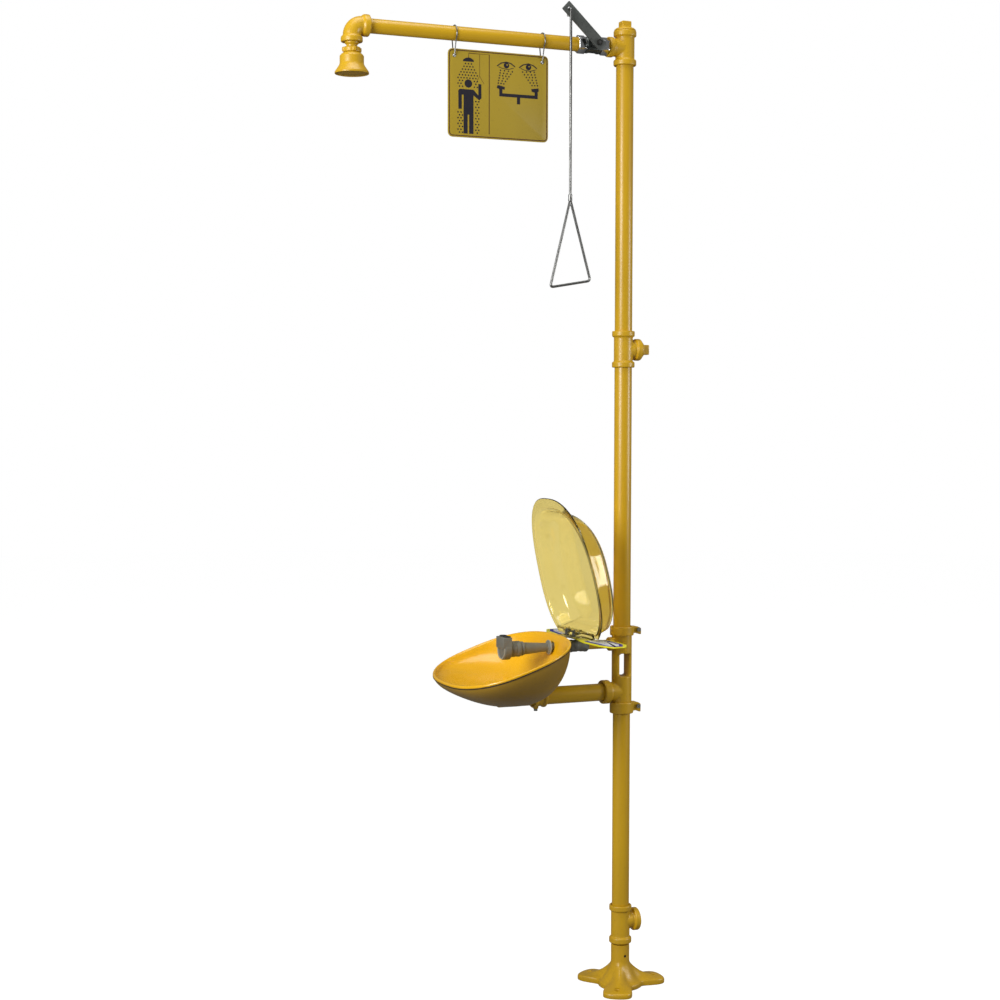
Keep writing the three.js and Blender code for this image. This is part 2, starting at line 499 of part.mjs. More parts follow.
// Shower line: nipple, quarter-turn valve, arm.
const valveAt = new THREE.Group();
valveAt.position.set(VALVE.x, 0, ARM_Z);
station.add(valveAt);
const nippleStart = -TOP_TEE.reach + SOCKET;
add("valve_nipple", alongX(pipe(ARM_R, ARM_BORE, VALVE.x + VALVE.half - 7, nippleStart)), paint, 0, 0,
  ARM_Z);
const showerValve = { barrel: VALVE.barrel, half: VALVE.half - VALVE.hexLength, hexEnd: VALVE.half,
  flats: VALVE.flats, cavity: VALVE.cavity };
add("shower_valve_body", quarterTurnValve(showerValve, ARM_R, 10, 28), chrome, 0, 0, 0,
  valveAt).rotation.x = Math.PI / 2;
add("shower_valve_ball", valveBall(VALVE.ballR), stainless, 0, 0, 0, valveAt).rotation.x = Math.PI / 2;
const stemEnd = -LEVER.y + LEVER.thick / 2;
add("shower_valve_stem", alongMinusY(joined(bar(5, VALVE.ballR + GAP, stemEnd - LEVER.thick - GAP, 16),
  bar(3.6, 20, stemEnd + 5, 16))), stainless, 0, 0, 0, valveAt);
add("shower_packing_nut", alongMinusY(cut(hexBar(18, 28 + GAP, 33), bar(5 + GAP, 20, 40, 16))),
  darkSteel, 0, 0, 0, valveAt);

// Lever: a flat bar with an eye near its end for the pull rod. It lies in the plane y = LEVER.y.
function showerLever() {
  const { reach, eye, width, thick, tail } = LEVER;
  const half = width / 2;
  const shape = new THREE.Shape();
  shape.moveTo(-tail, -half + 5).lineTo(-tail + 6, -half).lineTo(reach, -half).lineTo(reach, half);
  shape.lineTo(-tail + 6, half).lineTo(-tail, half - 5);
  shape.holes.push(circlePath(0, 0, 3.9), circlePath(eye, 0, 5));
  return alongMinusY(plate(shape, thick)).translate(0, thick / 2, 0);
}
const lever = add("shower_lever", showerLever(), darkSteel, 0, LEVER.y, 0, valveAt);
lever.rotation.y = LEVER.angle - Math.PI;
add("lever_nut", alongMinusY(cut(hexBar(13, stemEnd + GAP, stemEnd + 5), bar(3.6 + GAP, 40, 60, 16))),
  stainless, 0, 0, 0, valveAt);

// Pull rod: hooked through the eye of the lever, straight down to a triangular handle.
const eyeX = VALVE.x - LEVER.eye * Math.cos(LEVER.angle);
const eyeZ = ARM_Z + LEVER.eye * Math.sin(LEVER.angle);
function pullRod() {
  const back = LEVER.y - ROD.y + 6;
  const top = new THREE.CurvePath();
  const point = (y, z) => new THREE.Vector3(0, y, z);
  const bend = 6;
  top.add(new THREE.LineCurve3(point(0, -(eyeZ - ROD.apexZ) - 4), point(0, -bend)));
  top.add(new THREE.QuadraticBezierCurve3(point(0, -bend), point(0, 0), point(bend, 0)));
  top.add(new THREE.LineCurve3(point(bend, 0), point(back - bend, 0)));
  top.add(new THREE.QuadraticBezierCurve3(point(back - bend, 0), point(back, 0), point(back, -bend)));
  top.add(new THREE.LineCurve3(point(back, -bend), point(back, -16)));
  const straight = top.curves.slice(0, 1).map((line) => wire(line, ROD.r, 1));
  const rest = new THREE.CatmullRomCurve3([point(0, -8),
    ...top.curves.slice(1).flatMap((c) => c.getPoints(4).slice(1))]);
  return joined(...straight, wire(rest, ROD.r, 12));
}
add("pull_rod", pullRod(), stainless, eyeX, ROD.y, eyeZ);

function triangleHandle() {
  const corners = [[0, 0], [ROD.leftX, ROD.leftZ - ROD.apexZ], [ROD.rightX, ROD.rightZ - ROD.apexZ]]
    .map(([x, z]) => new THREE.Vector3(x, 0, z));
  const sides = corners.map((from, i) => wire(new THREE.LineCurve3(from, corners[(i + 1) % 3]), ROD.r, 1));
  const knees = corners.map((at) => new THREE.SphereGeometry(ROD.r + 0.05, 8, 6).translate(at.x, at.y,
    at.z));
  return cut(joined(...sides, ...knees), bar(20, -4 - GAP, 20, 12));
}
add("triangle_handle", triangleHandle(), stainless, eyeX, ROD.y, ROD.apexZ);

add("shower_arm", alongX(pipe(ARM_R, ARM_BORE, HEAD.x + ELBOW.socket - 13, VALVE.x - VALVE.half + 7)),
  paint, 0, 0, ARM_Z);

// Elbow: a quarter bend between two banded sockets.
function showerElbow() {
  const { band, body, bend, socket } = ELBOW;
  const curve = new THREE.CubicBezierCurve3(new THREE.Vector3(bend, 0, 0),
    new THREE.Vector3(bend * 0.45, 0, 0),
    new THREE.Vector3(0, 0, -bend * 0.45), new THREE.Vector3(0, 0, -bend));
  const outer = joined(wire(curve, body, 5, 16), alongX(bar(body, bend - 2, socket, 16)), bar(body,
    -socket, -bend + 2, 16),
    alongX(bar(band, socket - 17, socket)), bar(band, -socket, -socket + 15));
  return cut(outer, wire(curve, 14, 4, 12), alongX(bar(14, bend - 2, socket + 1, 12)), bar(14,
    -socket - 1, -bend + 2, 12),
    alongX(bar(ARM_R + GAP, socket - 14, socket + 1)), bar(HEAD.bushing + GAP, -socket - 1, -socket + 12));
}
add("shower_elbow", showerElbow(), paint, HEAD.x, 0, ARM_Z);

// Shower head: bushing, lugged collar, bell and spray face, all on one vertical axis.
const elbowFoot = ARM_Z - ELBOW.socket;
add("head_bushing", turned([[9, 2224], [12.5, 2224], [12.5, 2243], [HEAD.bushing, 2244], [HEAD.bushing,
  elbowFoot + 11],
  [9, elbowFoot + 11]], 16), paint, HEAD.x);
function headCollar() {
  const lugs = [0, 1, 2, 3].map((i) => block(HEAD.collar - 3, HEAD.collar + 1.6, -3.5, 3.5, 2225,
    2235).rotateZ((Math.PI * i) / 2));
  return cut(joined(bar(HEAD.collar, 2224, 2235.5), ...lugs), bar(12.5 + GAP, 2220, 2240, 16));
}
add("head_collar", headCollar(), paint, HEAD.x);
const BELL_WALL = 3;
add("shower_bell", turned([[9.5, 2223.7], [20, 2223.7], [24, 2220], [HEAD.bell, 2216], [HEAD.bell,
  2199], [30, 2193],
  [HEAD.mouth - 1, 2181], [HEAD.mouth, 2179], [HEAD.mouth, HEAD.faceZ], [HEAD.mouth - BELL_WALL,
    HEAD.faceZ],
  [HEAD.mouth - BELL_WALL, 2180.5], [HEAD.mouth - BELL_WALL - 2, 2181], [27, 2193],
    [HEAD.bell - BELL_WALL, 2200],
  [HEAD.bell - BELL_WALL, 2214], [9.5, 2216]]), paint, HEAD.x);
function sprayFace() {
  const disc = bar(HEAD.mouth - BELL_WALL - GAP, HEAD.faceZ + 1, HEAD.faceZ + 4);
  const holes = [[10, 24]].flatMap(([count, r]) => Array.from({ length: count }, (_, i) =>
    bar(1.3, HEAD.faceZ, HEAD.faceZ + 5, 6).translate(r, 0, 0).rotateZ((2 * Math.PI * i) / count)));
  return cut(disc, ...holes);
}
add("spray_face", sprayFace(), paint, HEAD.x);

// Sign: a plate hung from two wire hooks that loop over the arm.
function signPlate() {
  const { width, height, corner, holeIn, holeR, thick } = SIGN;
  const [w, h] = [width / 2, height];
  const quarter = Math.PI / 2;
  const shape = new THREE.Shape();
  shape.absarc(w - corner, -corner, corner, 0, quarter, false);
  shape.absarc(corner - w, -corner, corner, quarter, 2 * quarter, false);
  shape.absarc(corner - w, corner - h, corner, 2 * quarter, 3 * quarter, false);
  shape.absarc(w - corner, corner - h, corner, 3 * quarter, 4 * quarter, false);
  for (const side of [-1, 1]) shape.holes.push(circlePath(side * (w - holeIn), -holeIn, holeR));
  return alongMinusY(plate(shape, thick, 3)).translate(0, thick / 2, 0);
}
add("sign_plate", signPlate(), signPlastic, SIGN.x, 0, SIGN.top);

function signHook() {
  const r = ARM_R + SIGN.wireR + 0.5;
  const holeZ = SIGN.top - SIGN.holeIn - ARM_Z;
  const points = [[3.2, holeZ - 6], [2.6, holeZ - 0.6], [-1.2, holeZ - 0.6], [-3.6, holeZ + 5], [-6,
    holeZ + 12]];
  for (let degrees = 225; degrees >= -45; degrees -= 22.5) {
    const turn = THREE.MathUtils.degToRad(degrees);
    points.push([r * Math.cos(turn), r * Math.sin(turn)]);
  }
  points.push([8, holeZ + 12], [5.2, holeZ + 7]);
  return wire(new THREE.CatmullRomCurve3(points.map(([y, z]) => new THREE.Vector3(0, y, z))),
    SIGN.wireR, 28, 6);
}
for (const [side, offset] of [["left", -1], ["right", 1]])
  add(side + "_sign_hook", signHook(), stainless, SIGN.x + offset * (SIGN.width / 2 - SIGN.holeIn), 0,
    ARM_Z);

export default station;
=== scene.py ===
# Combination drench shower and eyewash station: its looks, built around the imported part.
# Sizes inside the sections are in millimetres, as on a maker's drawing, and turned to metres as drawn.
import math

import bmesh
import bpy
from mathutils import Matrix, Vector


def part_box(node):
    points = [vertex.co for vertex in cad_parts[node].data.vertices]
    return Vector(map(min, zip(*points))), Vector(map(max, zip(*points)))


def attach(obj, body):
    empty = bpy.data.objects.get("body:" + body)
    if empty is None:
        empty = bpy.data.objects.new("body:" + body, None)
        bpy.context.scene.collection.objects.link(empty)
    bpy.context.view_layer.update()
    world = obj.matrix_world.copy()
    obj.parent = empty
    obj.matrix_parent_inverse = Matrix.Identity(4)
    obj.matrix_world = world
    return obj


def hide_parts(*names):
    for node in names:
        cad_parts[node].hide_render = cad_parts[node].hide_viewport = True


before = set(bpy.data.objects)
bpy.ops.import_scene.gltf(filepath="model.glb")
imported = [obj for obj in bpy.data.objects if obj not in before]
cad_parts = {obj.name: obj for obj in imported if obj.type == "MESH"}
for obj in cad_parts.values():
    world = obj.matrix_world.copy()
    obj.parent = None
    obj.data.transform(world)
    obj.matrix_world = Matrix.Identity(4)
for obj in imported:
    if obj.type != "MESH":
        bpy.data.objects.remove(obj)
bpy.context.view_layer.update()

# ---- Floor flange -------------------------------------------------------------------------------
# Grey iron casting with three blunt feet under a ridged cone, and a socket for the base nipple.
# It is shot-blasted, powder-coated yellow and bolted to the floor through its feet.
MM = 0.001


def begin():
    """Nothing selected, and out of edit mode, before a new piece is started."""
    if bpy.context.object and bpy.context.object.mode != "OBJECT":
        bpy.ops.object.mode_set(mode="OBJECT")
    bpy.ops.object.select_all(action="DESELECT")


def only(piece):
    """That piece alone is selected and active."""
    begin()
    piece.select_set(True)
    bpy.context.view_layer.objects.active = piece
    return piece


def modified(piece, kind, **settings):
    """The piece with one modifier added, set and applied."""
    only(piece)
    bpy.ops.object.modifier_add(type=kind)
    modifier = piece.modifiers[-1]
    for key, value in settings.items():
        setattr(modifier, key, value)
    bpy.ops.object.modifier_apply(modifier=modifier.name)
    return piece


def eased(points, radius, closed=False, steps=4):
    """A line of points with its corners rounded. Open ends stay where they are."""
    line = []
    for i, corner in enumerate(points):
        corner = Vector(corner)
        if not closed and i in (0, len(points) - 1):
            line.append(corner)
            continue
        before = Vector(points[i - 1]) - corner
        after = Vector(points[(i + 1) % len(points)]) - corner
        reach = min(radius, 0.45 * before.length, 0.45 * after.length)
        start, end = corner + before.normalized() * reach, corner + after.normalized() * reach
        for k in range(steps + 1):
            f = k / steps
            line.append(start.lerp(corner, f).lerp(corner.lerp(end, f), f))
    return line


def lofted(rings):
    """A closed skin over a stack of rings of equal length: a disc extruded ring by ring."""
    begin()
    bpy.ops.mesh.primitive_circle_add(vertices=len(rings[0]), radius=1, fill_type="NGON")
    piece = bpy.context.object
    for vertex, point in zip(piece.data.vertices, rings[0]):
        vertex.co = Vector(point) * MM
    bpy.ops.object.mode_set(mode="EDIT")
    bpy.ops.mesh.select_all(action="SELECT")
    for below, ring in zip(rings, rings[1:]):
        bpy.ops.mesh.extrude_region_move()
        mesh = bmesh.from_edit_mesh(piece.data)
        seats = {tuple((Vector(p) * MM)[:]): i for i, p in enumerate(below)}
        for vertex in mesh.verts:
            if vertex.select:
                vertex.co = Vector(ring[seats[vertex.co[:]]]) * MM
        bmesh.update_edit_mesh(piece.data)
    bpy.ops.mesh.select_all(action="SELECT")
    bpy.ops.mesh.normals_make_consistent(inside=False)
    bpy.ops.object.mode_set(mode="OBJECT")
    return piece


def box(x0, x1, y0, y1, z0, z1):
    """A block between two corners, to cut with or to build on."""
    begin()
    bpy.ops.mesh.primitive_cube_add(size=1)
    piece = bpy.context.object
    for vertex in piece.data.vertices:
        vertex.co = [MM * (a if c < 0 else b) for c, a, b in
                     zip(vertex.co, (x0, y0, z0), (x1, y1, z1))]
    return piece


def drawn(points, closed=False):
    """A line of edges through the points, left in edit mode with all of it selected."""
    begin()
    bpy.ops.mesh.primitive_plane_add(size=MM)
    bpy.ops.object.mode_set(mode="EDIT")
    bpy.ops.mesh.select_all(action="SELECT")
    bpy.ops.mesh.merge(type="CENTER")
    here = Vector((0, 0, 0))
    for i, point in enumerate(points):
        step = (Vector(point) - here) * MM
        here = Vector(point)
        if i:
            bpy.ops.mesh.extrude_vertices_move(TRANSFORM_OT_translate={"value": step})
        else:
            bpy.ops.transform.translate(value=step)
    bpy.ops.mesh.select_all(action="SELECT")
    if closed:
        mesh = bmesh.from_edit_mesh(bpy.context.object.data)
        mesh.edges.new([vertex for vertex in mesh.verts if len(vertex.link_edges) == 1])
        bmesh.update_edit_mesh(bpy.context.object.data)
        bpy.ops.mesh.select_all(action="SELECT")
    return bpy.context.object


def turned(profile, at=(0, 0, 0), axis=(0, 0, 1), ease=0.8, closed=False, sides=64):
    """A piece from the lathe: a profile of (radius, distance along the axis), spun round the axis."""
    along, at = Vector(axis), Vector(at)
    out = Vector((1, 0, 0)) if abs(along.z) > 0.5 else Vector((0, 0, 1))
    line = eased(profile, ease, closed) if ease else [Vector(p) for p in profile]
    piece = drawn([at + along * p[1] + out * p[0] for p in line], closed)
    bpy.ops.mesh.spin(steps=sides, angle=2 * math.pi, center=at * MM, axis=along)
    bpy.ops.mesh.select_all(action="SELECT")
    bpy.ops.mesh.remove_doubles(threshold=5e-6)
    bpy.ops.mesh.normals_make_consistent(inside=False)
    bpy.ops.object.mode_set(mode="OBJECT")
    return piece


def drill(radius, start, end, at=(0, 0, 0), axis=(0, 0, 1), sides=64):
    """A plain cylinder along an axis, to cut a hole with."""
    return turned([(0, start), (radius, start), (radius, end), (0, end)], at=at, axis=axis, ease=0,
                  sides=sides)


def machined(body, parts=(), holes=()):
    """The body with other pieces welded on and holes cut, by booleans that are applied at once."""
    for tool, operation in [(p, "UNION") for p in parts] + [(h, "DIFFERENCE") for h in holes]:
        modified(body, "BOOLEAN", object=tool, operation=operation, solver="MANIFOLD")
        bpy.data.objects.remove(tool)
    return body


def cast(body, parts=(), holes=(), grain=1.1, passes=6):
    """The same as a casting: one skin whose corners and joints are blended by the mould."""
    machined(body, parts, holes)
    modified(body, "REMESH", mode="VOXEL", voxel_size=grain * MM)
    return modified(body, "SMOOTH", factor=0.5, iterations=passes)


def piece_of(piece, name, look, body, slot, *nodes, smooth=40):
    """Names a finished mesh, gives it its finish, hides the imported parts it stands for, and hangs it on
    the body it moves with.
    """
    only(piece)
    bpy.ops.object.shade_smooth_by_angle(angle=math.radians(smooth))
    piece.name = piece.data.name = name
    piece.data.materials.clear()
    piece.data.materials.append(look)
    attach(piece, body)
    if nodes:
        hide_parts(*nodes)
    return piece


def worn_surface():
    """Shared texture: slow patches, fine grain and sparse specks, on the object's own coordinates."""
    group = bpy.data.node_groups.new("worn_surface", "ShaderNodeTree")
    for name, kind in (("Stretch", "NodeSocketVector"), ("Patch Scale", "NodeSocketFloat"),
                       ("Grain Scale", "NodeSocketFloat"), ("Speck Scale", "NodeSocketFloat")):
        group.interface.new_socket(name, in_out="INPUT", socket_type=kind)
    for name in ("Patches", "Grain", "Specks"):
        group.interface.new_socket(name, in_out="OUTPUT", socket_type="NodeSocketFloat")
    nodes, links = group.nodes, group.links
    source, sink = nodes.new("NodeGroupInput"), nodes.new("NodeGroupOutput")
    place, stretch = nodes.new("ShaderNodeTexCoord"), nodes.new("ShaderNodeVectorMath")
    stretch.operation = "MULTIPLY"
    links.new(place.outputs["Object"], stretch.inputs[0])
    links.new(source.outputs["Stretch"], stretch.inputs[1])
    for name, detail in (("Patch", 4), ("Grain", 2), ("Speck", 1)):
        noise, ramp = nodes.new("ShaderNodeTexNoise"), nodes.new("ShaderNodeMapRange")
        noise.inputs["Detail"].default_value = detail
        low, high = (0.66, 0.72) if name == "Speck" else (0.3, 0.7)
        ramp.inputs["From Min"].default_value, ramp.inputs["From Max"].default_value = low, high
        links.new(stretch.outputs[0], noise.inputs["Vector"])
        links.new(source.outputs[name + " Scale"], noise.inputs["Scale"])
        links.new(noise.outputs["Fac"], ramp.inputs["Value"])
        links.new(ramp.outputs["Result"], sink.inputs[{"Patch": "Patches"}.get(name, name) if
                                                      name != "Speck" else "Specks"])
    return group


SURFACE = worn_surface()


def srgb(*levels):
    """A colour read as 0 to 255 screen levels, as the linear values a shader takes."""
    return [((c / 255 + 0.055) / 1.055) ** 2.4 if c > 10 else c / 3295 for c in levels] + [1]


def finish(name, main, patch, speck, rough, metal=0.0, stretch=(1, 1, 1), scales=(5, 900, 120),
           bump=0.15, depth=0.1, coat=0.0):
    """A surface finish: two tones in slow patches, specks, and grain in its gloss and relief."""
    look = bpy.data.materials.new(name)
    look.use_nodes = True
    nodes, links = look.node_tree.nodes, look.node_tree.links
    shader = nodes["Principled BSDF"]
    shader.inputs["Metallic"].default_value = metal
    shader.inputs["Coat Weight"].default_value = coat
    shader.inputs["Coat Roughness"].default_value = 0.12
    wear = nodes.new("ShaderNodeGroup")
    wear.node_tree = SURFACE
    wear.inputs["Stretch"].default_value = stretch
    for socket, scale in zip(("Patch Scale", "Grain Scale", "Speck Scale"), scales):
        wear.inputs[socket].default_value = scale
    tones, specks = nodes.new("ShaderNodeMix"), nodes.new("ShaderNodeMix")
    tones.data_type = specks.data_type = "RGBA"
    tones.inputs["A"].default_value, tones.inputs["B"].default_value = srgb(*main), srgb(*patch)
    specks.inputs["B"].default_value = srgb(*speck)
    links.new(wear.outputs["Patches"], tones.inputs["Factor"])
    links.new(tones.outputs["Result"], specks.inputs["A"])
    links.new(wear.outputs["Specks"], specks.inputs["Factor"])
    links.new(specks.outputs["Result"], shader.inputs["Base Color"])
    gloss = nodes.new("ShaderNodeMapRange")
    gloss.inputs["To Min"].default_value, gloss.inputs["To Max"].default_value = rough
    links.new(wear.outputs["Grain"], gloss.inputs["Value"])
    links.new(gloss.outputs["Result"], shader.inputs["Roughness"])
    relief = nodes.new("ShaderNodeBump")
    relief.inputs["Strength"].default_value = bump
    relief.inputs["Distance"].default_value = depth * MM
    links.new(wear.outputs["Grain"], relief.inputs["Height"])
    links.new(relief.outputs["Normal"], shader.inputs["Normal"])
    return look


pipe_paint = finish("pipe_paint", (204, 161, 18), (195, 152, 20), (196, 153, 20), (0.3, 0.4),
                    scales=(4, 420, 160), bump=0.12, depth=0.15, coat=0.08)
cast_paint = finish("cast_paint", (204, 161, 20), (192, 149, 22), (188, 146, 24), (0.32, 0.46),
                    scales=(9, 260, 140), bump=0.3, depth=0.35, coat=0.08)
dark_screw = finish("dark_screw", (60, 60, 56), (44, 44, 42), (80, 74, 66), (0.4, 0.6), metal=0.7,
                    scales=(60, 900, 300))


def foot_ring(z, valley, ridge, narrow, around=144):
    """One outline of the flange: a waist with three feet, from blunt (0) to narrow ridges (1)."""
    points = []
    for i in range(around):
        turn = 2 * math.pi * i / around
        crest = (1 + math.cos(3 * turn)) / 2
        blunt = (1 + math.exp(-4.375)) / (1 + math.exp((0.65 - crest) / 0.08))
        r = valley + (ridge - valley) * (blunt * (1 - narrow) + crest ** 4 * narrow)
        points.append((r * math.cos(turn), r * math.sin(turn), z))
    return points


flange = lofted([foot_ring(*ring) for ring in [
    (0, 52, 113, 0), (0.6, 53, 114.4, 0), (2, 53.5, 115, 0), (9, 53.5, 115, 0), (11.4, 52.6, 113.8, 0),
    (13, 51, 111.5, 0), (13.8, 49, 108, 0), (14.6, 47, 100, 0.25), (16, 45, 91, 0.6), (19, 42, 79, 0.9),
    (24, 38, 67, 1), (30, 34, 55, 1), (37, 30.5, 45, 1), (44, 27.5, 36.5, 1), (51, 25, 29.5, 1),
    (57, 23.3, 25, 1), (62, 22.7, 23, 1), (66, 22.6, 22.6, 1), (100, 22.6, 22.6, 1),
    (103, 22.3, 22.3, 1), (104, 21.3, 21.3, 1), (104, 18, 18, 1), (103, 17.3, 17.3, 1),
    (64, 17.3, 17.3, 1)]])
BOLT_CIRCLE, BOLT_HOLE = 90, 6.5
machined(flange, holes=[
    turned([(0, -5), (BOLT_HOLE, -5), (BOLT_HOLE, 13.4), (BOLT_HOLE + 1.6, 15), (BOLT_HOLE + 1.6, 40),
            (0, 40)], ease=0, sides=32,
           at=(BOLT_CIRCLE * math.cos(turn), BOLT_CIRCLE * math.sin(turn), 0))
    for turn in (0, 2 * math.pi / 3, 4 * math.pi / 3)] + [
    turned([(0, 0), (3.4, 0), (3.4, 21.6), (4.4, 22.8), (4.4, 40), (0, 40)], ease=0, sides=32,
           at=(0, 0, 77), axis=(math.cos(math.radians(-82)), math.sin(math.radians(-82)), 0))])
piece_of(flange, "floor_flange_casting", cast_paint, "station", "yellow_paint", "floor_flange", smooth=35)
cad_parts["flange_set_screw"].data.materials[0] = dark_screw

# ---- Standpipe, arm and nipples -----------------------------------------------------------------
# Galvanised steel pipe, threaded at both ends and powder-coated after it is cut. The standpipe is
# 1 1/4 inch in three lengths, and the shower arm and its nipples are 1 inch.
for node, axis, outer, bore in [
        ("base_nipple", 2, 16.7, 13.3), ("lower_pole", 2, 21.1, 17.5), ("middle_pole", 2, 21.1, 17.5),
        ("upper_pole", 2, 21.1, 17.5), ("drain_pipe", 0, 21.1, 17.5), ("supply_arm", 0, 10.65, 7.9),
        ("valve_nipple", 0, 16.7, 13.3), ("shower_arm", 0, 16.7, 13.3)]:
    low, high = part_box(node)
    middle = (low + high) / 2 / MM
    half = (high - low)[axis] / 2 / MM
    line = Vector((0, 0, 1)) if axis == 2 else Vector((1, 0, 0))
    pipe = turned([(bore, -half), (outer, -half), (outer, half), (bore, half)], at=middle, axis=line,
                  closed=True, sides=96)
    piece_of(pipe, node + "_tube", pipe_paint, "station", "yellow_paint", node)

# ---- Tees ---------------------------------------------------------------------------------------
# Malleable iron pipe tees with a rolled band round each mouth. The standpipe lengths screw into
# them: the waste outlet is at the bottom, the water inlet half way up and the shower branch on top.
BAND, BODY, BRANCH, CHAMFER = 27.5, 23, 21.5, 1.1


def mouth(radius, start, end):
    """Profile of a threaded mouth from its bottom to its chamfered face, to cut with."""
    return [(0, start), (radius + 0.7, start), (radius + 0.7, end - 2), (radius + CHAMFER + 0.7, end),
            (radius + CHAMFER + 0.7, end + 5), (0, end + 5)]


for node, low, high, outlet, reach, side, lower, upper, branch, rim in [
        ("waste_tee", 107.8, 201.5, 161.6, 45, 1, 16.7, 21.1, 21.1, 28),
        ("supply_tee", 1520.8, 1609.1, 1564.3, 43, 1, 21.1, 21.1, 21.1, 26.5),
        ("top_tee", 2245, 2328, 2287, 47, -1, 16.7 + 4.4, 21.1, 16.7, 24)]:
    run = turned([(0, low), (BAND - 0.8, low), (BAND, low + 1.5), (BAND, low + 12), (BAND - 1, low + 13.5),
                  (BODY, low + 15), (BODY, high - 15), (BAND - 1, high - 13.5), (BAND, high - 12),
                  (BAND, high - 1.5), (BAND - 0.8, high), (0, high)])
    arm = turned([(0, 0), (BRANCH, 0), (BRANCH, reach - 15), (rim - 1, reach - 13.5), (rim, reach - 12),
                  (rim, reach - 1.5), (rim - 0.8, reach), (0, reach)],
                 at=(0, 0, outlet), axis=(side, 0, 0))
    bores = [drill(17, low - 5, high + 5),
             drill(16, 0, reach + 5, at=(0, 0, outlet), axis=(side, 0, 0)),
             turned(mouth(branch, reach - 15, reach), ease=0, at=(0, 0, outlet), axis=(side, 0, 0)),
             turned(mouth(upper, 0, 15), ease=0, at=(0, 0, high - 15)),
             turned(mouth(lower, 0, 15), ease=0, at=(0, 0, low + 15), axis=(0, 0, -1))]
    piece_of(cast(run, [arm], bores), node + "_casting", cast_paint, "station", "yellow_paint", node)

# ---- Plugs --------------------------------------------------------------------------------------
# Cored iron pipe plugs with a square wrench head, screwed into the unused mouths: the top of the
# standpipe, and the water inlet until the building's supply is joined to it.
PLUG_HEAD = 24
for node, at, axis, crown, shoulder, length in [
        ("supply_plug", (43, 0, 1564.3), (1, 0, 0), [(21, 0.6), (18.7, 6), (0, 6)], 6, 22),
        ("top_plug", (0, 0, 2328), (0, 0, 1),
         [(21, 0.3), (26.2, 0.3), (26, 2.5), (22, 6), (14, 8.5), (0, 8.5)], 8, 23)]:
    stub = turned([(0, -2), (16, -2), (16, -14.5), (21, -14.5)] + crown, at=at, axis=axis)
    h = PLUG_HEAD / 2
    grip = box(*((-h, h) if axis[2] else (at[0] + shoulder - 2, at[0] + length)), -h, h,
               *((at[2] + shoulder - 2, at[2] + length) if axis[2] else (at[2] - h, at[2] + h)))
    plug = cast(stub, [modified(grip, "BEVEL", width=2 * MM, segments=3)], grain=0.9, passes=4)
    piece_of(plug, node + "_casting", cast_paint, "station", "yellow_paint", node)

# ---- Eyewash bracket ----------------------------------------------------------------------------
# One iron casting between two lengths of the standpipe. Its upper block feeds the eyewash, its
# lower block takes the drain line, and a window between two legs parts the two waters.
WASTE_Z, WATER_Z = 731, 848
column = turned([(0, 678.8), (24.2, 678.8), (24.2, 704), (24.5, 706), (24.5, 867), (24.2, 869),
                 (24.2, 889.2), (0, 889.2)])
hubs = [turned([(0, 0), (23, 0), (23, 33), (25, 35), (29, 37), (29, 53), (27.5, 55), (0, 55)],
               at=(0, 0, WASTE_Z), axis=(-1, 0, 0)),
        turned([(0, 0), (15, 0), (15, 25), (17, 27), (17, 36), (16, 37), (0, 37)],
               at=(0, 0, WATER_Z), axis=(-1, 0, 0))]
cuts = [box(-12.5, 12.5, -60, 60, 768, 825), box(-60, 60, 15, 60, 771, 822),
        box(-60, 60, -60, -15, 771, 822),
        drill(22, 600, 709.5),
        drill(17.5, 705, 763),
        drill(22, 861.5, 950),
        drill(14, 831, 866),
        drill(16, 0, 60, at=(0, 0, WASTE_Z), axis=(-1, 0, 0)),
        turned(mouth(21.1, 36, 55), ease=0, at=(0, 0, WASTE_Z), axis=(-1, 0, 0)),
        drill(7.9, 0, 60, at=(0, 0, WATER_Z), axis=(-1, 0, 0)),
        turned(mouth(10.65, 18, 37), ease=0, at=(0, 0, WATER_Z), axis=(-1, 0, 0))]
piece_of(cast(column, hubs, cuts), "eyewash_bracket_casting", cast_paint, "station", "yellow_paint",
         "eyewash_bracket")

# ---- Clamp rings --------------------------------------------------------------------------------
# Cast rings that close the bracket's split sleeves on the standpipe. Two ears stick out at the
# back, with a zinc-plated cross bolt and nut through them.
zinc = finish("zinc_plate", (176, 174, 160), (150, 150, 140), (120, 118, 110), (0.22, 0.42), metal=0.9,
              scales=(40, 700, 200))


def extruded(outline, depth):
    """A plate cut to an outline and pushed out to its thickness along the given step."""
    piece = drawn(outline, closed=True)
    bpy.ops.mesh.edge_face_add()
    bpy.ops.mesh.extrude_region_move(TRANSFORM_OT_translate={"value": Vector(depth) * MM})
    bpy.ops.mesh.select_all(action="SELECT")
    bpy.ops.mesh.normals_make_consistent(inside=False)
    bpy.ops.object.mode_set(mode="OBJECT")
    return piece


for side, z, height in (("lower", 677.3, 27.4), ("upper", 868.3, 22.4)):
    ring = turned([(24.6, z), (29, z), (29, z + height), (24.6, z + height)], closed=True, ease=3.4)
    lug = extruded([(x, -10, z + up) for x, up in eased(
        [(20, 4), (39, 5), (43, 1), (48, 1), (48, height - 6), (38, height - 1.5), (20, height - 1.5)],
        3, closed=True)], (0, 20, 0))
    slots = [box(22, 60, -1.6, 1.6, z - 1, z + height + 1),
             drill(3.4, -20, 20, at=(40, 0, z + height / 2 + 2), axis=(0, 1, 0), sides=24),
             drill(24.6, z - 1, z + height + 1)]
    piece_of(cast(ring, [lug], slots, grain=0.9), side + "_clamp_casting", cast_paint, "station",
             "yellow_paint", side + "_clamp_ring")
    for node in (side + "_clamp_bolt", side + "_clamp_nut"):
        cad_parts[node].data.materials[0] = zinc
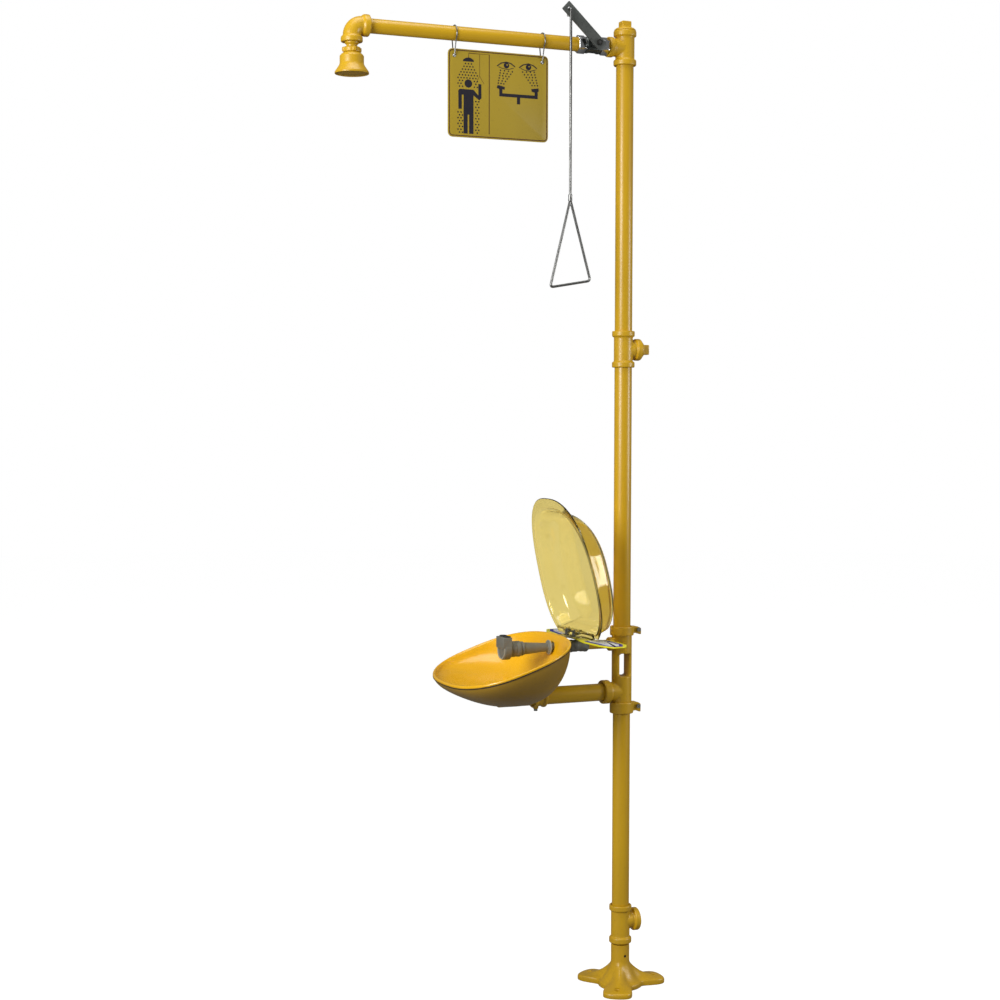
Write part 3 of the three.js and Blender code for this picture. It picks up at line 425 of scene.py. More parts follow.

# ---- Drain line ---------------------------------------------------------------------------------
# The drain casting under the bowl and the slip coupling that joins it to the drain pipe, with a
# set screw below. The castings are painted with the rest of the pipework; the set screw is zinc-plated.
COUPLING = -223.5
band = turned([(21.9, -16.5), (26.2, -16.5), (27, -15.4), (27, -10), (24, -7.5), (24, 7.5), (27, 10),
               (27, 15.4), (26.2, 16.5), (21.9, 16.5)], at=(COUPLING, 0, WASTE_Z), axis=(1, 0, 0),
              closed=True)
boss = turned([(0, 23), (6.5, 23), (6.5, 29), (5.5, 30), (0, 30)], at=(COUPLING - 6, 0, WASTE_Z),
              axis=(0, 0, -1), sides=32)
tapped = drill(3.4, 15, 40, at=(COUPLING - 6, 0, WASTE_Z), axis=(0, 0, -1), sides=24)
piece_of(cast(band, [boss], [tapped], grain=0.9), "drain_coupling_casting", cast_paint, "station",
         "yellow_paint", "drain_coupling")
barrel = turned([(0, -330), (19, -330), (21.1, -327), (21.1, -223.8), (17.5, -223.8), (17.5, -322),
                 (0, -322)], at=(0, 0, WASTE_Z), axis=(1, 0, 0))
port = turned([(0, 0), (20, 0), (20, 24), (0, 24)], at=(-300, 0, WASTE_Z))
throat = drill(16, 2, 60, at=(-300, 0, WASTE_Z))
piece_of(cast(barrel, [port], [throat]), "drain_body_casting", cast_paint, "station", "yellow_paint",
         "drain_body")
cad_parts["coupling_screw"].data.materials[0] = zinc
rubber = finish("black_rubber", (34, 34, 33), (26, 26, 26), (46, 46, 44), (0.6, 0.8), scales=(30, 800, 200))
gasket = turned([(16.2, 0), (21, 0), (21, 2.2), (16.2, 2.2)], at=(-300, 0, 755.3), closed=True)
piece_of(gasket, "drain_gasket_ring", rubber, "station", "black_rubber", "drain_gasket")

# ---- Basin --------------------------------------------------------------------------------------
# The wetted inner shell of the bowl: injection-moulded yellow ABS with a polished inside, a rolled
# lip, a drain hole in its floor and a hole in its back wall for the spray tube.
bowl_gloss = finish("bowl_plastic", (232, 176, 16), (226, 169, 16), (224, 168, 18), (0.22, 0.32),
                    scales=(3, 700, 90), bump=0.05, depth=0.1, coat=0.3)
RIM_X, RIM_Z, RIM_A, RIM_B, RIM_POWER, RIM_SLOPE = -320, 829, 146, 198, 2.56, 0.346


def square_round(turn, power):
    """A point of a rounded rectangle's outline, in units of its half length and half width."""
    c, s = math.cos(turn), math.sin(turn)
    return math.copysign(abs(c) ** (2 / power), c), math.copysign(abs(s) ** (2 / power), s)


def bowl_ring(a, b, x, z, slope, around=128):
    ring = [square_round(2 * math.pi * (i + 0.5) / around, RIM_POWER) for i in range(around)]
    return [(x + a * c, b * s, z + slope * a * c) for c, s in ring]


def bowl_wall(inset, drop, floor_x, floor_z, fullness, steps=19):
    """Rings of a bowl's wall from its rim down to its floor."""
    rings, last = [], math.radians(74)
    for k in range(steps):
        turn = last * k / (steps - 1)
        size, down = math.cos(turn) ** fullness, (math.sin(turn) / math.sin(last)) ** 1.15
        rings.append(bowl_ring((RIM_A - inset) * size, (RIM_B - inset) * size,
                               RIM_X + (floor_x - RIM_X) * down,
                               RIM_Z - drop + (floor_z - RIM_Z + drop) * down, RIM_SLOPE * (1 - down)))
    return rings


def rim_edge(inset, drop):
    return bowl_ring(RIM_A - inset, RIM_B - inset, RIM_X, RIM_Z - drop, RIM_SLOPE)


lip = eased([(7.2, 6.4), (0.4, 6.2), (0, 3), (1.0, 0.6), (2.6, 0), (5.5, 1.2), (8.5, 5)], 1.2)
basin = lofted(bowl_wall(7.5, 6.6, -314, 758, 0.9)[::-1] + [rim_edge(*p) for p in lip]
               + bowl_wall(10.5, 8.6, -314, 761, 0.9)[1:])
drain_hole = drill(16.5, 700, 800, at=(-300, 0, 0))
tube_hole = drill(12.3, 120, 260, at=(0, 0, WATER_Z), axis=(-1, 0, 0))
piece_of(machined(basin, holes=[drain_hole, tube_hole]), "basin_shell", bowl_gloss, "station",
         "bowl_plastic", "bowl_basin", smooth=50)

# ---- Skirt --------------------------------------------------------------------------------------
# The outer shell of the bowl, moulded in the same plastic with a duller outside. Its colour is
# set darker than the basin's as painted shade. It hangs under the basin's lip, where a thin black
# bead stands for the shadow line as painted shade, and is cut away where it straddles the drain line.
# Its tones are the basin's yellow darkened: painted shade for the shadowed underside of the bowl, not a
# different plastic.
skirt_painted_shade = finish("skirt_plastic_painted_shade", (160, 124, 26), (148, 113, 26), (144, 110, 26), (0.34, 0.46),
                    scales=(4, 620, 90), bump=0.08, depth=0.12, coat=0.15)
skirt = lofted(bowl_wall(2.2, 8, -312, 721, 0.86)[::-1]
               + [bowl_ring(RIM_A - 3.4, RIM_B - 3.4, RIM_X, RIM_Z - 7.4, RIM_SLOPE)]
               + bowl_wall(5, 7.6, -312, 724, 0.86))
trench = [drill(22.1, -331, -150, at=(0, 0, WASTE_Z), axis=(1, 0, 0)),
          drill(28.5, -242, -150, at=(0, 0, WASTE_Z), axis=(1, 0, 0)),
          box(-331, -150, -22.1, 22.1, 690, WASTE_Z), box(-242, -150, -28.5, 28.5, 690, WASTE_Z),
          drill(12.3, 120, 260, at=(0, 0, WATER_Z), axis=(-1, 0, 0))]
piece_of(machined(skirt, holes=trench), "skirt_shell", skirt_painted_shade, "station", "bowl_plastic",
         "bowl_skirt", smooth=50)


def wire(points, radius, closed=False, sides=5):
    """A round wire along a line of points, with its ends filled."""
    piece = drawn(points, closed)
    bpy.ops.object.mode_set(mode="OBJECT")
    bpy.ops.object.convert(target="CURVE")
    curve = bpy.context.object.data
    curve.bevel_depth, curve.bevel_resolution, curve.use_fill_caps = radius * MM, sides, True
    bpy.ops.object.convert(target="MESH")
    piece = bpy.context.object
    bpy.ops.object.mode_set(mode="EDIT")
    bpy.ops.mesh.select_all(action="SELECT")
    bpy.ops.mesh.remove_doubles(threshold=1e-6)
    bpy.ops.mesh.normals_make_consistent(inside=False)
    bpy.ops.object.mode_set(mode="OBJECT")
    return piece


# A thin black bead under the lip, put where the rim casts its shadow line: painted shade.
shade_bead = wire(rim_edge(1.1, 7.6), 0.9, closed=True, sides=3)
piece_of(shade_bead, "rim_shade_bead", rubber, "station", "black_rubber", smooth=60)

# ---- Strainer -----------------------------------------------------------------------------------
# Pressed stainless disc with crossed slots, on a threaded tail that pulls the basin down on the
# drain port.
steel = finish("stainless", (150, 150, 148), (132, 132, 130), (112, 112, 110), (0.18, 0.34), metal=1.0,
               scales=(30, 900, 260), bump=0.08)
disc = turned([(0, 2.4), (18, 2.8), (24.5, 4.2), (27, 2.6), (26.6, 1.2), (25, 1.2), (15.6, 1.4),
               (15.6, -22), (12.6, -22), (12.6, 0.6), (0, 0.6)], at=(-300, 0, 761.3), ease=0.5)
slots = []
for turn in (22.5, 67.5, 112.5, 157.5):
    slot = box(-11, 11, -1.3, 1.3, -4, 8)
    c, s = math.cos(math.radians(turn)), math.sin(math.radians(turn))
    for vertex in slot.data.vertices:
        x, y, z = vertex.co
        vertex.co = (x * c - y * s - 300 * MM, x * s + y * c, z + 761.3 * MM)
    slots.append(slot)
piece_of(machined(disc, holes=slots), "strainer_disc", steel, "station", "stainless", "drain_strainer",
         smooth=30)

# ---- Eyewash valve ------------------------------------------------------------------------------
# Quarter-turn ball valve behind the bowl: a moulded grey body with a hexagon at each end, a
# stainless ball across the water and a stem up to the push handle.
grey_plastic = finish("grey_plastic", (114, 114, 106), (104, 104, 97), (124, 124, 116), (0.38, 0.56),
                      scales=(14, 700, 300), bump=0.2, depth=0.12)


def hex_bar(flats, start, end, at, axis, bore=0.0):
    """A hexagon nut or bar with its corners turned down at both ends."""
    r = flats / math.sqrt(3)
    outer = [(r - 0.9, start), (r, start + 0.9), (r, end - 0.9), (r - 0.9, end)]
    profile = ([(bore, start)] + outer + [(bore, end)]) if bore else [(0, start)] + outer + [(0, end)]
    return turned(profile, at=at, axis=axis, ease=0, closed=bool(bore), sides=6)


VALVE_AT = (-118, 0, WATER_Z)
shell = turned([(0, -16), (13.4, -16), (14.6, -13), (14.6, -5), (13.6, -4), (13.6, 4), (14.6, 5),
                (14.6, 13), (13.4, 16), (0, 16)], at=VALVE_AT, axis=(1, 0, 0))
ends = [hex_bar(27, a, b, VALVE_AT, (1, 0, 0)) for a, b in ((-24, -14.5), (14.5, 24))]
neck = turned([(0, 0), (8, 0), (8, 14.4), (7.2, 15.2), (0, 15.2)], at=VALVE_AT, sides=32)
bores = [drill(8.6, -40, 40, at=VALVE_AT, axis=(1, 0, 0), sides=32),
         drill(11.2, 15, 30, at=VALVE_AT, axis=(1, 0, 0), sides=32),
         drill(11.2, 15, 30, at=VALVE_AT, axis=(-1, 0, 0), sides=32),
         drill(4.8, 4, 30, at=VALVE_AT, sides=32),
         turned([(0, -11.6), (6, -10), (10, -6), (11.6, 0), (10, 6), (6, 10), (0, 11.6)], at=VALVE_AT,
                ease=2, sides=32)]
piece_of(machined(shell, ends + [neck], bores), "eyewash_valve_shell", grey_plastic, "station",
         "grey_plastic", "eyewash_valve_body", smooth=30)
for node in ("eyewash_valve_ball", "eyewash_valve_stem", "shower_valve_ball"):
    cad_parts[node].data.materials[0] = steel

# ---- Spray tube and bulkhead nut ----------------------------------------------------------------
# Moulded grey tube that passes through the back wall of the bowl. Its collar seats inside, a nut
# clamps it outside, and it widens towards the stepped socket of the spray head.
AXIS_AT, FORWARD = (0, 0, WATER_Z), (-1, 0, 0)
spout = turned([(7, 135), (10.65, 135), (10.65, 194), (15.4, 194.4), (16, 196.4), (15.4, 198.6),
                (10.6, 200.5), (10.6, 204), (11.4, 216), (14.6, 262), (15.6, 263), (17, 264.5), (17, 268),
                (15.8, 269.5),
                (15.8, 271.5), (19, 273), (19, 281), (18.3, 282), (18.3, 285), (19, 286), (19, 299.7),
                (7, 299.7)], at=AXIS_AT, axis=FORWARD, ease=0.6, closed=True)
piece_of(spout, "spray_tube_moulding", grey_plastic, "station", "grey_plastic", "spray_tube")
piece_of(hex_bar(29, 146, 155, AXIS_AT, FORWARD, bore=10.95), "bulkhead_nut_moulding", grey_plastic,
         "station", "grey_plastic", "bulkhead_nut", smooth=30)
pale_ring = finish("pale_grey_plastic", (158, 160, 150), (146, 148, 138), (126, 128, 120), (0.3, 0.46),
                   scales=(14, 700, 300), bump=0.15)
seat = turned([(16.1, 194.3), (17.4, 194.3), (17.4, 197.6), (16.1, 197.6)], at=AXIS_AT, axis=FORWARD,
              closed=True, ease=0.5)
piece_of(seat, "wall_seal_ring", pale_ring, "station", "grey_plastic")

# ---- Spray head ---------------------------------------------------------------------------------
# Moulded drum across the end of the tube. Its flat top carries two aerated outlets side by side,
# and a pressed cap ring shows on its front face.
drum = turned([(0, 300), (23, 300), (24.5, 301.2), (24.5, 316.5), (23, 319), (20, 319), (19, 317.4),
               (6, 317.4), (5, 318.2), (0, 318.4)], at=AXIS_AT, axis=FORWARD)
deck = modified(box(-323, -300.2, -23, 23, 852, 878.5), "BEVEL", width=1.2 * MM, segments=3)
outlets = [drill(6.5, 0, 40, at=(-309.5, y, WATER_Z + 20), sides=32)
           for y in (-12, 12)]
head = machined(drum, [deck], outlets)
piece_of(head, "spray_head_moulding", grey_plastic, "station", "grey_plastic", "spray_head", smooth=30)
cap_ring = turned([(20.2, 318.6), (23, 318.6), (23, 320.2), (20.2, 320.2)], at=AXIS_AT, axis=FORWARD,
                  closed=True, ease=0.6)
piece_of(cap_ring, "head_cap_ring", pale_ring, "station", "grey_plastic")
for side, y in (("near", -12), ("far", 12)):
    nozzle = turned([(4, -9), (6.2, -9), (6.2, 0), (8.6, 0), (9, 0.6), (8.6, 2.4), (6, 2.4), (5.2, 1.2),
                     (4, 1.2)], at=(-309.5, y, 878.8), closed=True, ease=0.4, sides=48)
    piece_of(nozzle, side + "_nozzle_cap", rubber, "station", "grey_plastic", side + "_nozzle")

# ---- Push handle --------------------------------------------------------------------------------
# Bow-tie plate stamped from sheet metal and painted bright yellow, held on the valve stem by a nut.
# Each wing carries a printed label with a blue border round a blank white field.
handle_paint = finish("handle_yellow", (236, 228, 40), (226, 218, 36), (208, 200, 40), (0.3, 0.42),
                      scales=(20, 500, 200), bump=0.12)
label_blue = finish("label_blue", (40, 34, 168), (36, 30, 150), (48, 44, 160), (0.36, 0.5),
                    scales=(40, 900, 300), bump=0.05)
label_white = finish("label_white", (226, 230, 236), (214, 220, 228), (200, 206, 214), (0.36, 0.5),
                     scales=(40, 900, 300), bump=0.05)
PLATE_Z, PLATE_THICK = 864, 2.5
WING = [(12, 26), (54, 68), (54, 155), (34, 193), (2, 193), (-16, 153), (-22, 68), (-12, 26)]


def wing(side, height):
    line = [(VALVE_AT[0] + x, side * y, height) for x, y in WING]
    return line if side > 0 else line[::-1]


outline = eased(wing(1, PLATE_Z) + wing(-1, PLATE_Z), 9, closed=True)
blank = modified(extruded(outline, (0, 0, PLATE_THICK)), "BEVEL", width=0.6 * MM, segments=3,
                 limit_method="ANGLE", angle_limit=math.radians(60))
stem_hole = drill(2.8, 860, 870, at=(VALVE_AT[0], 0, 0), sides=32)
piece_of(machined(blank, holes=[stem_hole]), "push_handle_plate", handle_paint, "push_handle_body",
         "handle_yellow", "push_handle")


def label(side, margin, height, thick):
    """A sticker with the wing's own outline, brought in by a margin and cut clear of the waist."""
    piece = drawn(eased(wing(side, height), 6, closed=True), closed=True)
    bpy.ops.mesh.edge_face_add()
    bpy.ops.mesh.inset(thickness=margin * MM)
    bpy.ops.mesh.select_all(action="INVERT")
    bpy.ops.mesh.delete(type="VERT")
    bpy.ops.mesh.select_all(action="SELECT")
    bpy.ops.mesh.bisect(plane_co=(0, side * 58 * MM, 0), plane_no=(0, -side, 0), clear_outer=True)
    bpy.ops.mesh.select_all(action="SELECT")
    bpy.ops.mesh.extrude_region_move(TRANSFORM_OT_translate={"value": (0, 0, thick * MM)})
    bpy.ops.mesh.select_all(action="SELECT")
    bpy.ops.mesh.normals_make_consistent(inside=False)
    bpy.ops.object.mode_set(mode="OBJECT")
    return piece


for name, side in (("near", -1), ("far", 1)):
    piece_of(label(side, 9, PLATE_Z + PLATE_THICK, 0.25), name + "_label_border", label_blue,
             "push_handle_body", "handle_yellow")
    piece_of(label(side, 18, PLATE_Z + PLATE_THICK + 0.25, 0.2), name + "_label_field", label_white,
             "push_handle_body", "handle_yellow")
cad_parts["handle_nut"].data.materials[0] = zinc

# ---- Hinge bracket and pin ----------------------------------------------------------------------
# Stainless plate clamped under the bulkhead nut behind the bowl. It is bent out to a shelf with two
# rolled knuckles, and a headed pin runs through them and the cover's two ears.
for node in ("hinge_bracket", "hinge_pin"):
    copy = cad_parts[node].copy()
    copy.data = copy.data.copy()
    bpy.context.scene.collection.objects.link(copy)
    for key in [k for k in copy.keys() if k.startswith("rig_")]:
        del copy[key]
    copy.parent = None
    only(copy)
    bpy.ops.object.mode_set(mode="EDIT")
    bpy.ops.mesh.select_all(action="SELECT")
    bpy.ops.mesh.remove_doubles(threshold=1e-6)
    bpy.ops.mesh.dissolve_limited(angle_limit=math.radians(1))
    bpy.ops.object.mode_set(mode="OBJECT")
    piece_of(modified(copy, "BEVEL", width=0.3 * MM, segments=2, limit_method="ANGLE",
                      angle_limit=math.radians(40)), node + "_steel", steel, "station", "stainless", node,
             smooth=30)

# ---- Dust cover ---------------------------------------------------------------------------------
# Vacuum-formed shell of clear amber plastic: a flat flange round a deep rounded dome, a stiff
# straight lip along its bottom and two ears on the hinge pin.
COVER_X, COVER_Z, COVER_A, COVER_B, COVER_POWER = -159.9, 1027, 184.6, 165.8, 2.57
LEAN, TAPER, BOW, WALL, BOTTOM = math.radians(13.6), 0.073, 7, 2.4, -156


def cover_at(depth, across, along):
    """A point of the cover, from its own depth, width and length, in the open position."""
    return (COVER_X + depth * math.cos(LEAN) - along * math.sin(LEAN), across,
            COVER_Z + depth * math.sin(LEAN) + along * math.cos(LEAN))


def cover_ring(inset, top_inset, depth, around=144):
    ring = []
    for i in range(around):
        s, c = square_round(2 * math.pi * (i + 0.5) / around, COVER_POWER)
        along = max(c * (COVER_A - (top_inset if c > 0 else inset)), BOTTOM + inset * 0.6)
        across = (COVER_B - inset) * s * (1 - TAPER * along / COVER_A)
        ring.append(cover_at(depth + BOW * s * s * (1 - inset / COVER_B), across, along))
    return ring


W = WALL
section = eased([(150, 172, 61.5 - W), (66, 92, 60 - W), (36 + W, 66 + W, 56 - W), (20 + W, 48 + W, 41),
                 (14 + W, 34 + W, 14), (11 + W, 27 + W, 0.3), (1.3, 1.3, 0), (0, 0, 1.4), (1.3, 1.3, 2.9),
                 (11, 27, 3.4), (14, 34, 14), (20, 48, 42), (36, 66, 56), (66, 92, 60), (150, 172, 61.5)],
                9, steps=5)
dome = lofted([cover_ring(*p) for p in section])
hinge_x, hinge_z = -9.4, -144.85


def cover_bar(depths, widths, lengths):
    """A block in the cover's own frame."""
    piece = box(*depths, *widths, *lengths)
    for vertex in piece.data.vertices:
        vertex.co = Vector(cover_at(*(vertex.co / MM))) * MM
    return piece


lip_bar = modified(cover_bar((-3, 3), (-100, 100), (-159, -144)), "BEVEL", width=1.2 * MM, segments=3)
ears = []
for low, high in ((-38, -27), (27, 38)):
    ears.append(turned([(0, low), (5.5, low), (5.5, high), (0, high)], at=(-135, 0, 884), axis=(0, 1, 0),
                       sides=32))
    ears.append(cover_bar((hinge_x, 1), (low + 0.1, high - 0.1), (hinge_z - 5, hinge_z + 5)))
pin_hole = drill(2.7, -60, 60, at=(-135, 0, 884), axis=(0, 1, 0), sides=32)
amber = finish("smoky_plastic", (226, 206, 122), (222, 200, 114), (220, 198, 112), (0.03, 0.1),
               scales=(4, 160, 60), bump=0.04, depth=0.1)
clear = amber.node_tree.nodes["Principled BSDF"]
clear.inputs["Transmission Weight"].default_value = 1.0
clear.inputs["IOR"].default_value = 1.49
cover = machined(dome, [lip_bar] + ears, [pin_hole])
piece_of(cover, "dust_cover_shell", amber, "cover_body", "smoky_plastic", "dust_cover", smooth=40)

# ---- Shower valve -------------------------------------------------------------------------------
# Quarter-turn brass ball valve, nickel-plated: a polished hexagon at each end of a darker forged
# middle, with a packing nut round the stem on the user's side.
chrome = finish("polished_plate", (214, 216, 216), (198, 200, 202), (170, 172, 172), (0.08, 0.2), metal=1.0,
                scales=(25, 600, 180), bump=0.06)
forged = finish("forged_body", (92, 96, 94), (72, 76, 74), (54, 56, 54), (0.3, 0.5), metal=0.85,
                scales=(30, 420, 160), bump=0.3, depth=0.2)
ARM_Z, VALVE_X = 2287, -88
HUB = (VALVE_X, 0, ARM_Z)
middle = turned([(12, -20.6), (17.5, -20.6), (19.5, -17.5), (19.5, -12), (18, -10.5), (18, 10.5),
                 (19.5, 12), (19.5, 17.5), (17.5, 20.6), (12, 20.6), (12, 15), (16.2, 8), (16.8, 0),
                 (16.2, -8), (12, -15)], at=HUB, axis=(1, 0, 0), closed=True, ease=1.2)
boss = turned([(5.9, 17), (10, 17), (10, 27), (9, 28), (5.9, 28)], at=HUB, axis=(0, -1, 0), closed=True,
              sides=48)
lugs = [modified(box(VALVE_X - 16, VALVE_X + 16, -22, -15, ARM_Z + z - 3, ARM_Z + z + 3), "BEVEL",
                 width=1.4 * MM, segments=2) for z in (-11, 11)]
hole = drill(5.8, 0, 40, at=HUB, axis=(0, -1, 0), sides=32)
piece_of(machined(middle, [boss] + lugs, [hole]), "shower_valve_forging", forged, "station", "chrome",
         "shower_valve_body", smooth=32)
for name, start in (("left", -40), ("right", 20.8)):
    nut = hex_bar(38, start, start + 19.2, HUB, (1, 0, 0), bore=17)
    piece_of(modified(nut, "BEVEL", width=0.5 * MM, segments=2, limit_method="ANGLE",
                      angle_limit=math.radians(50)), "shower_valve_" + name + "_hex", chrome, "station",
             "chrome", smooth=30)
for node in ("shower_packing_nut", "lever_nut"):
    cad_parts[node].data.materials[0] = forged if node.endswith("packing_nut") else dark_screw
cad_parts["shower_valve_stem"].data.materials[0] = steel

# ---- Shower lever -------------------------------------------------------------------------------
# Flat steel bar with an olive zinc finish, sheared at its ends, with a round eye for the pull rod.
# It sits on the flats of the valve stem and turns down a quarter turn when the rod is pulled.
olive_steel = finish("olive_steel", (98, 101, 98), (84, 87, 84), (70, 72, 70), (0.34, 0.52), metal=0.4,
                     stretch=(1, 0.3, 1), scales=(22, 520, 200), bump=0.15)
REACH, EYE, TAIL, LEVER_Y = 119, 105.5, 19, -39
LEVER_ANGLE = math.radians(43)
along = (-math.cos(LEVER_ANGLE), math.sin(LEVER_ANGLE))
across = (math.sin(LEVER_ANGLE), math.cos(LEVER_ANGLE))


def lever_at(d, w, y=LEVER_Y - 2):
    return (VALVE_X + d * along[0] + w * across[0], y, ARM_Z + d * along[1] + w * across[1])


bar = extruded(eased([lever_at(d, w) for d, w in [(-TAIL, -8), (-TAIL + 6, -13), (REACH, -13), (REACH, 13),
                                                  (-TAIL + 6, 13), (-TAIL, 8)]], 2, closed=True), (0, 4, 0))
modified(bar, "BEVEL", width=0.5 * MM, segments=2, limit_method="ANGLE", angle_limit=math.radians(60))
eye_holes = [drill(r, -60, -20, at=(x, 0, z), axis=(0, 1, 0), sides=40)
             for r, (x, _, z) in ((3.9, lever_at(0, 0)), (5, lever_at(EYE, 0)))]
piece_of(machined(bar, holes=eye_holes), "shower_lever_bar", olive_steel, "shower_lever_body",
         "dark_steel", "shower_lever", smooth=30)

# ---- Pull rod and triangle handle ---------------------------------------------------------------
# Bright-drawn stainless rod, hooked through the eye of the lever and hanging plumb to a handle
# bent from the same rod into a closed triangle. A crimped sleeve joins the two.
rod_steel = finish("drawn_rod", (136, 136, 134), (118, 118, 116), (98, 98, 96), (0.24, 0.38), metal=0.9,
                   stretch=(1, 1, 0.05), scales=(60, 1200, 200), bump=0.1)


EYE_AT = lever_at(EYE, 0)
ROD_R, ROD_Y, APEX_Z = 3.1, -48, 1917
rod_line = eased([(EYE_AT[0], ROD_Y, APEX_Z - 3), (EYE_AT[0], ROD_Y, EYE_AT[2]),
                  (EYE_AT[0], ROD_Y + 15, EYE_AT[2]), (EYE_AT[0], ROD_Y + 15, EYE_AT[2] - 16)], 6, steps=8)
piece_of(wire(rod_line, ROD_R), "pull_rod_wire", rod_steel, "pull_rod_body", "stainless", "pull_rod",
         smooth=50)
triangle = eased([(EYE_AT[0], ROD_Y, APEX_Z - 4), (EYE_AT[0] - 51, ROD_Y, 1706),
                  (EYE_AT[0] + 53, ROD_Y, 1724)], 9, closed=True, steps=8)
piece_of(wire(triangle, ROD_R, closed=True), "triangle_handle_wire", rod_steel, "pull_rod_body",
         "stainless", "triangle_handle", smooth=50)
sleeve = turned([(3.2, 0), (4.7, 0), (4.9, 2), (4.4, 8), (4.9, 14), (4.7, 16), (3.2, 16)],
                at=(EYE_AT[0], ROD_Y, APEX_Z - 8), closed=True, ease=0.8, sides=40)
piece_of(sleeve, "rod_sleeve", rod_steel, "pull_rod_body", "stainless")

# ---- Shower elbow -------------------------------------------------------------------------------
# Malleable iron elbow, painted: a quarter bend with a rolled band round each mouth, screwed on the
# end of the shower arm.
HEAD_X, BEND = -688, 24
bend_line = [(HEAD_X + 40, 0, ARM_Z), (HEAD_X + BEND, 0, ARM_Z)] + [
    (HEAD_X + BEND - BEND * math.sin(t), 0, ARM_Z - BEND + BEND * math.cos(t))
    for t in [math.radians(a) for a in range(10, 90, 10)]] + [
    (HEAD_X, 0, ARM_Z - BEND), (HEAD_X, 0, ARM_Z - 40)]
body = wire(bend_line, 20.5, sides=10)
bands = [turned([(0, 0), (24, 0), (25, 1.2), (25, 12), (22.5, 16), (20, 17), (0, 17)],
                at=(HEAD_X + 40, 0, ARM_Z), axis=(-1, 0, 0)),
         turned([(0, 0), (24, 0), (25, 1.2), (25, 11), (22.5, 14), (20, 15), (0, 15)],
                at=(HEAD_X, 0, ARM_Z - 40))]
cores = [wire(bend_line, 13.5, sides=8),
         turned(mouth(16.7, 26, 40), ease=0, at=(HEAD_X, 0, ARM_Z), axis=(1, 0, 0)),
         turned(mouth(16, 28, 40), ease=0, at=(HEAD_X, 0, ARM_Z), axis=(0, 0, -1))]
piece_of(cast(body, bands, cores), "shower_elbow_casting", cast_paint, "station", "yellow_paint",
         "shower_elbow")

# ---- Shower head --------------------------------------------------------------------------------
# Bushing, lugged collar and bell, cast and painted, with a drilled spray face set inside the
# flared mouth of the bell.
bushing = turned([(9, 2224), (12.5, 2224), (12.5, 2241), (16, 2244), (16, 2258), (9, 2258)],
                 at=(HEAD_X, 0, 0), closed=True)
piece_of(bushing, "head_bushing_turning", cast_paint, "station", "yellow_paint", "head_bushing")
collar = turned([(12.8, 2224), (19, 2224), (20, 2225.4), (20, 2234), (19, 2235.5), (12.8, 2235.5)],
                at=(HEAD_X, 0, 0), closed=True)
tabs = [modified(box(HEAD_X + x - a, HEAD_X + x + a, y - b, y + b, 2225, 2235), "BEVEL", width=1 * MM,
                 segments=2) for x, y, a, b in ((19.5, 0, 3, 3.5), (-19.5, 0, 3, 3.5), (0, 19.5, 3.5, 3),
                                                (0, -19.5, 3.5, 3))]
piece_of(cast(collar, tabs, grain=0.8, passes=4), "head_collar_casting", cast_paint, "station",
         "yellow_paint", "head_collar")
bell = turned([(9.5, 2223.7), (19, 2223.7), (23.5, 2220.6), (27.5, 2216), (27.5, 2199), (29.5, 2194),
               (37.4, 2182.5), (39, 2180), (39, 2176.6), (38.4, 2176), (36.4, 2176), (36, 2176.8),
               (36, 2181), (33, 2183), (26.6, 2193), (24.5, 2200), (24.5, 2213), (9.5, 2216)],
              at=(HEAD_X, 0, 0), closed=True, ease=1.6, sides=96)
piece_of(bell, "shower_bell_turning", cast_paint, "station", "yellow_paint", "shower_bell")
face = turned([(0, 2177), (35, 2177), (35.6, 2177.6), (35.6, 2180), (0, 2180)], at=(HEAD_X, 0, 0))
drilled = [drill(1.3, 2170, 2190,
                 at=(HEAD_X + r * math.cos(2 * math.pi * i / n), r * math.sin(2 * math.pi * i / n), 0),
                 sides=12)
           for r, n in ((9, 6), (18, 12), (27, 18)) for i in range(n)]
piece_of(machined(face, holes=drilled), "spray_face_disc", cast_paint, "station", "yellow_paint",
         "spray_face", smooth=30)

# ---- Sign ---------------------------------------------------------------------------------------
# Stiff yellow plastic plate with rounded corners and two eyeletted holes, printed in black on the
# user's side with a shower pictogram and an eyewash pictogram, and hung from the arm by two wires.
sign_plastic = finish("sign_plastic", (174, 148, 40), (168, 142, 39), (165, 140, 39), (0.34, 0.46),
                      scales=(6, 600, 200), bump=0.06)
ink = finish("black_ink", (22, 20, 34), (28, 24, 36), (40, 34, 40), (0.4, 0.55), scales=(40, 900, 300),
             bump=0.04)
maroon = finish("maroon_ink", (74, 44, 22), (84, 50, 26), (96, 60, 30), (0.4, 0.55), scales=(40, 900, 300),
                bump=0.04)
SIGN_X, SIGN_TOP, SIGN_W, SIGN_H, SIGN_THICK, HOLE_IN = -329, 2253, 254, 203, 2, 16


def on_sign(u, v, lift=0.0):
    """A point of the sign's front, from the middle of its top edge: u to the right, v up."""
    return (SIGN_X + u, -SIGN_THICK / 2 - lift, SIGN_TOP + v)


def sign_outline(inset, corner, lift=0.0):
    w, h = SIGN_W / 2 - inset, SIGN_H - inset
    return eased([on_sign(u, v, lift) for u, v in ((-w, -h), (w, -h), (w, -inset), (-w, -inset))],
                 corner * 1.25, closed=True, steps=8)


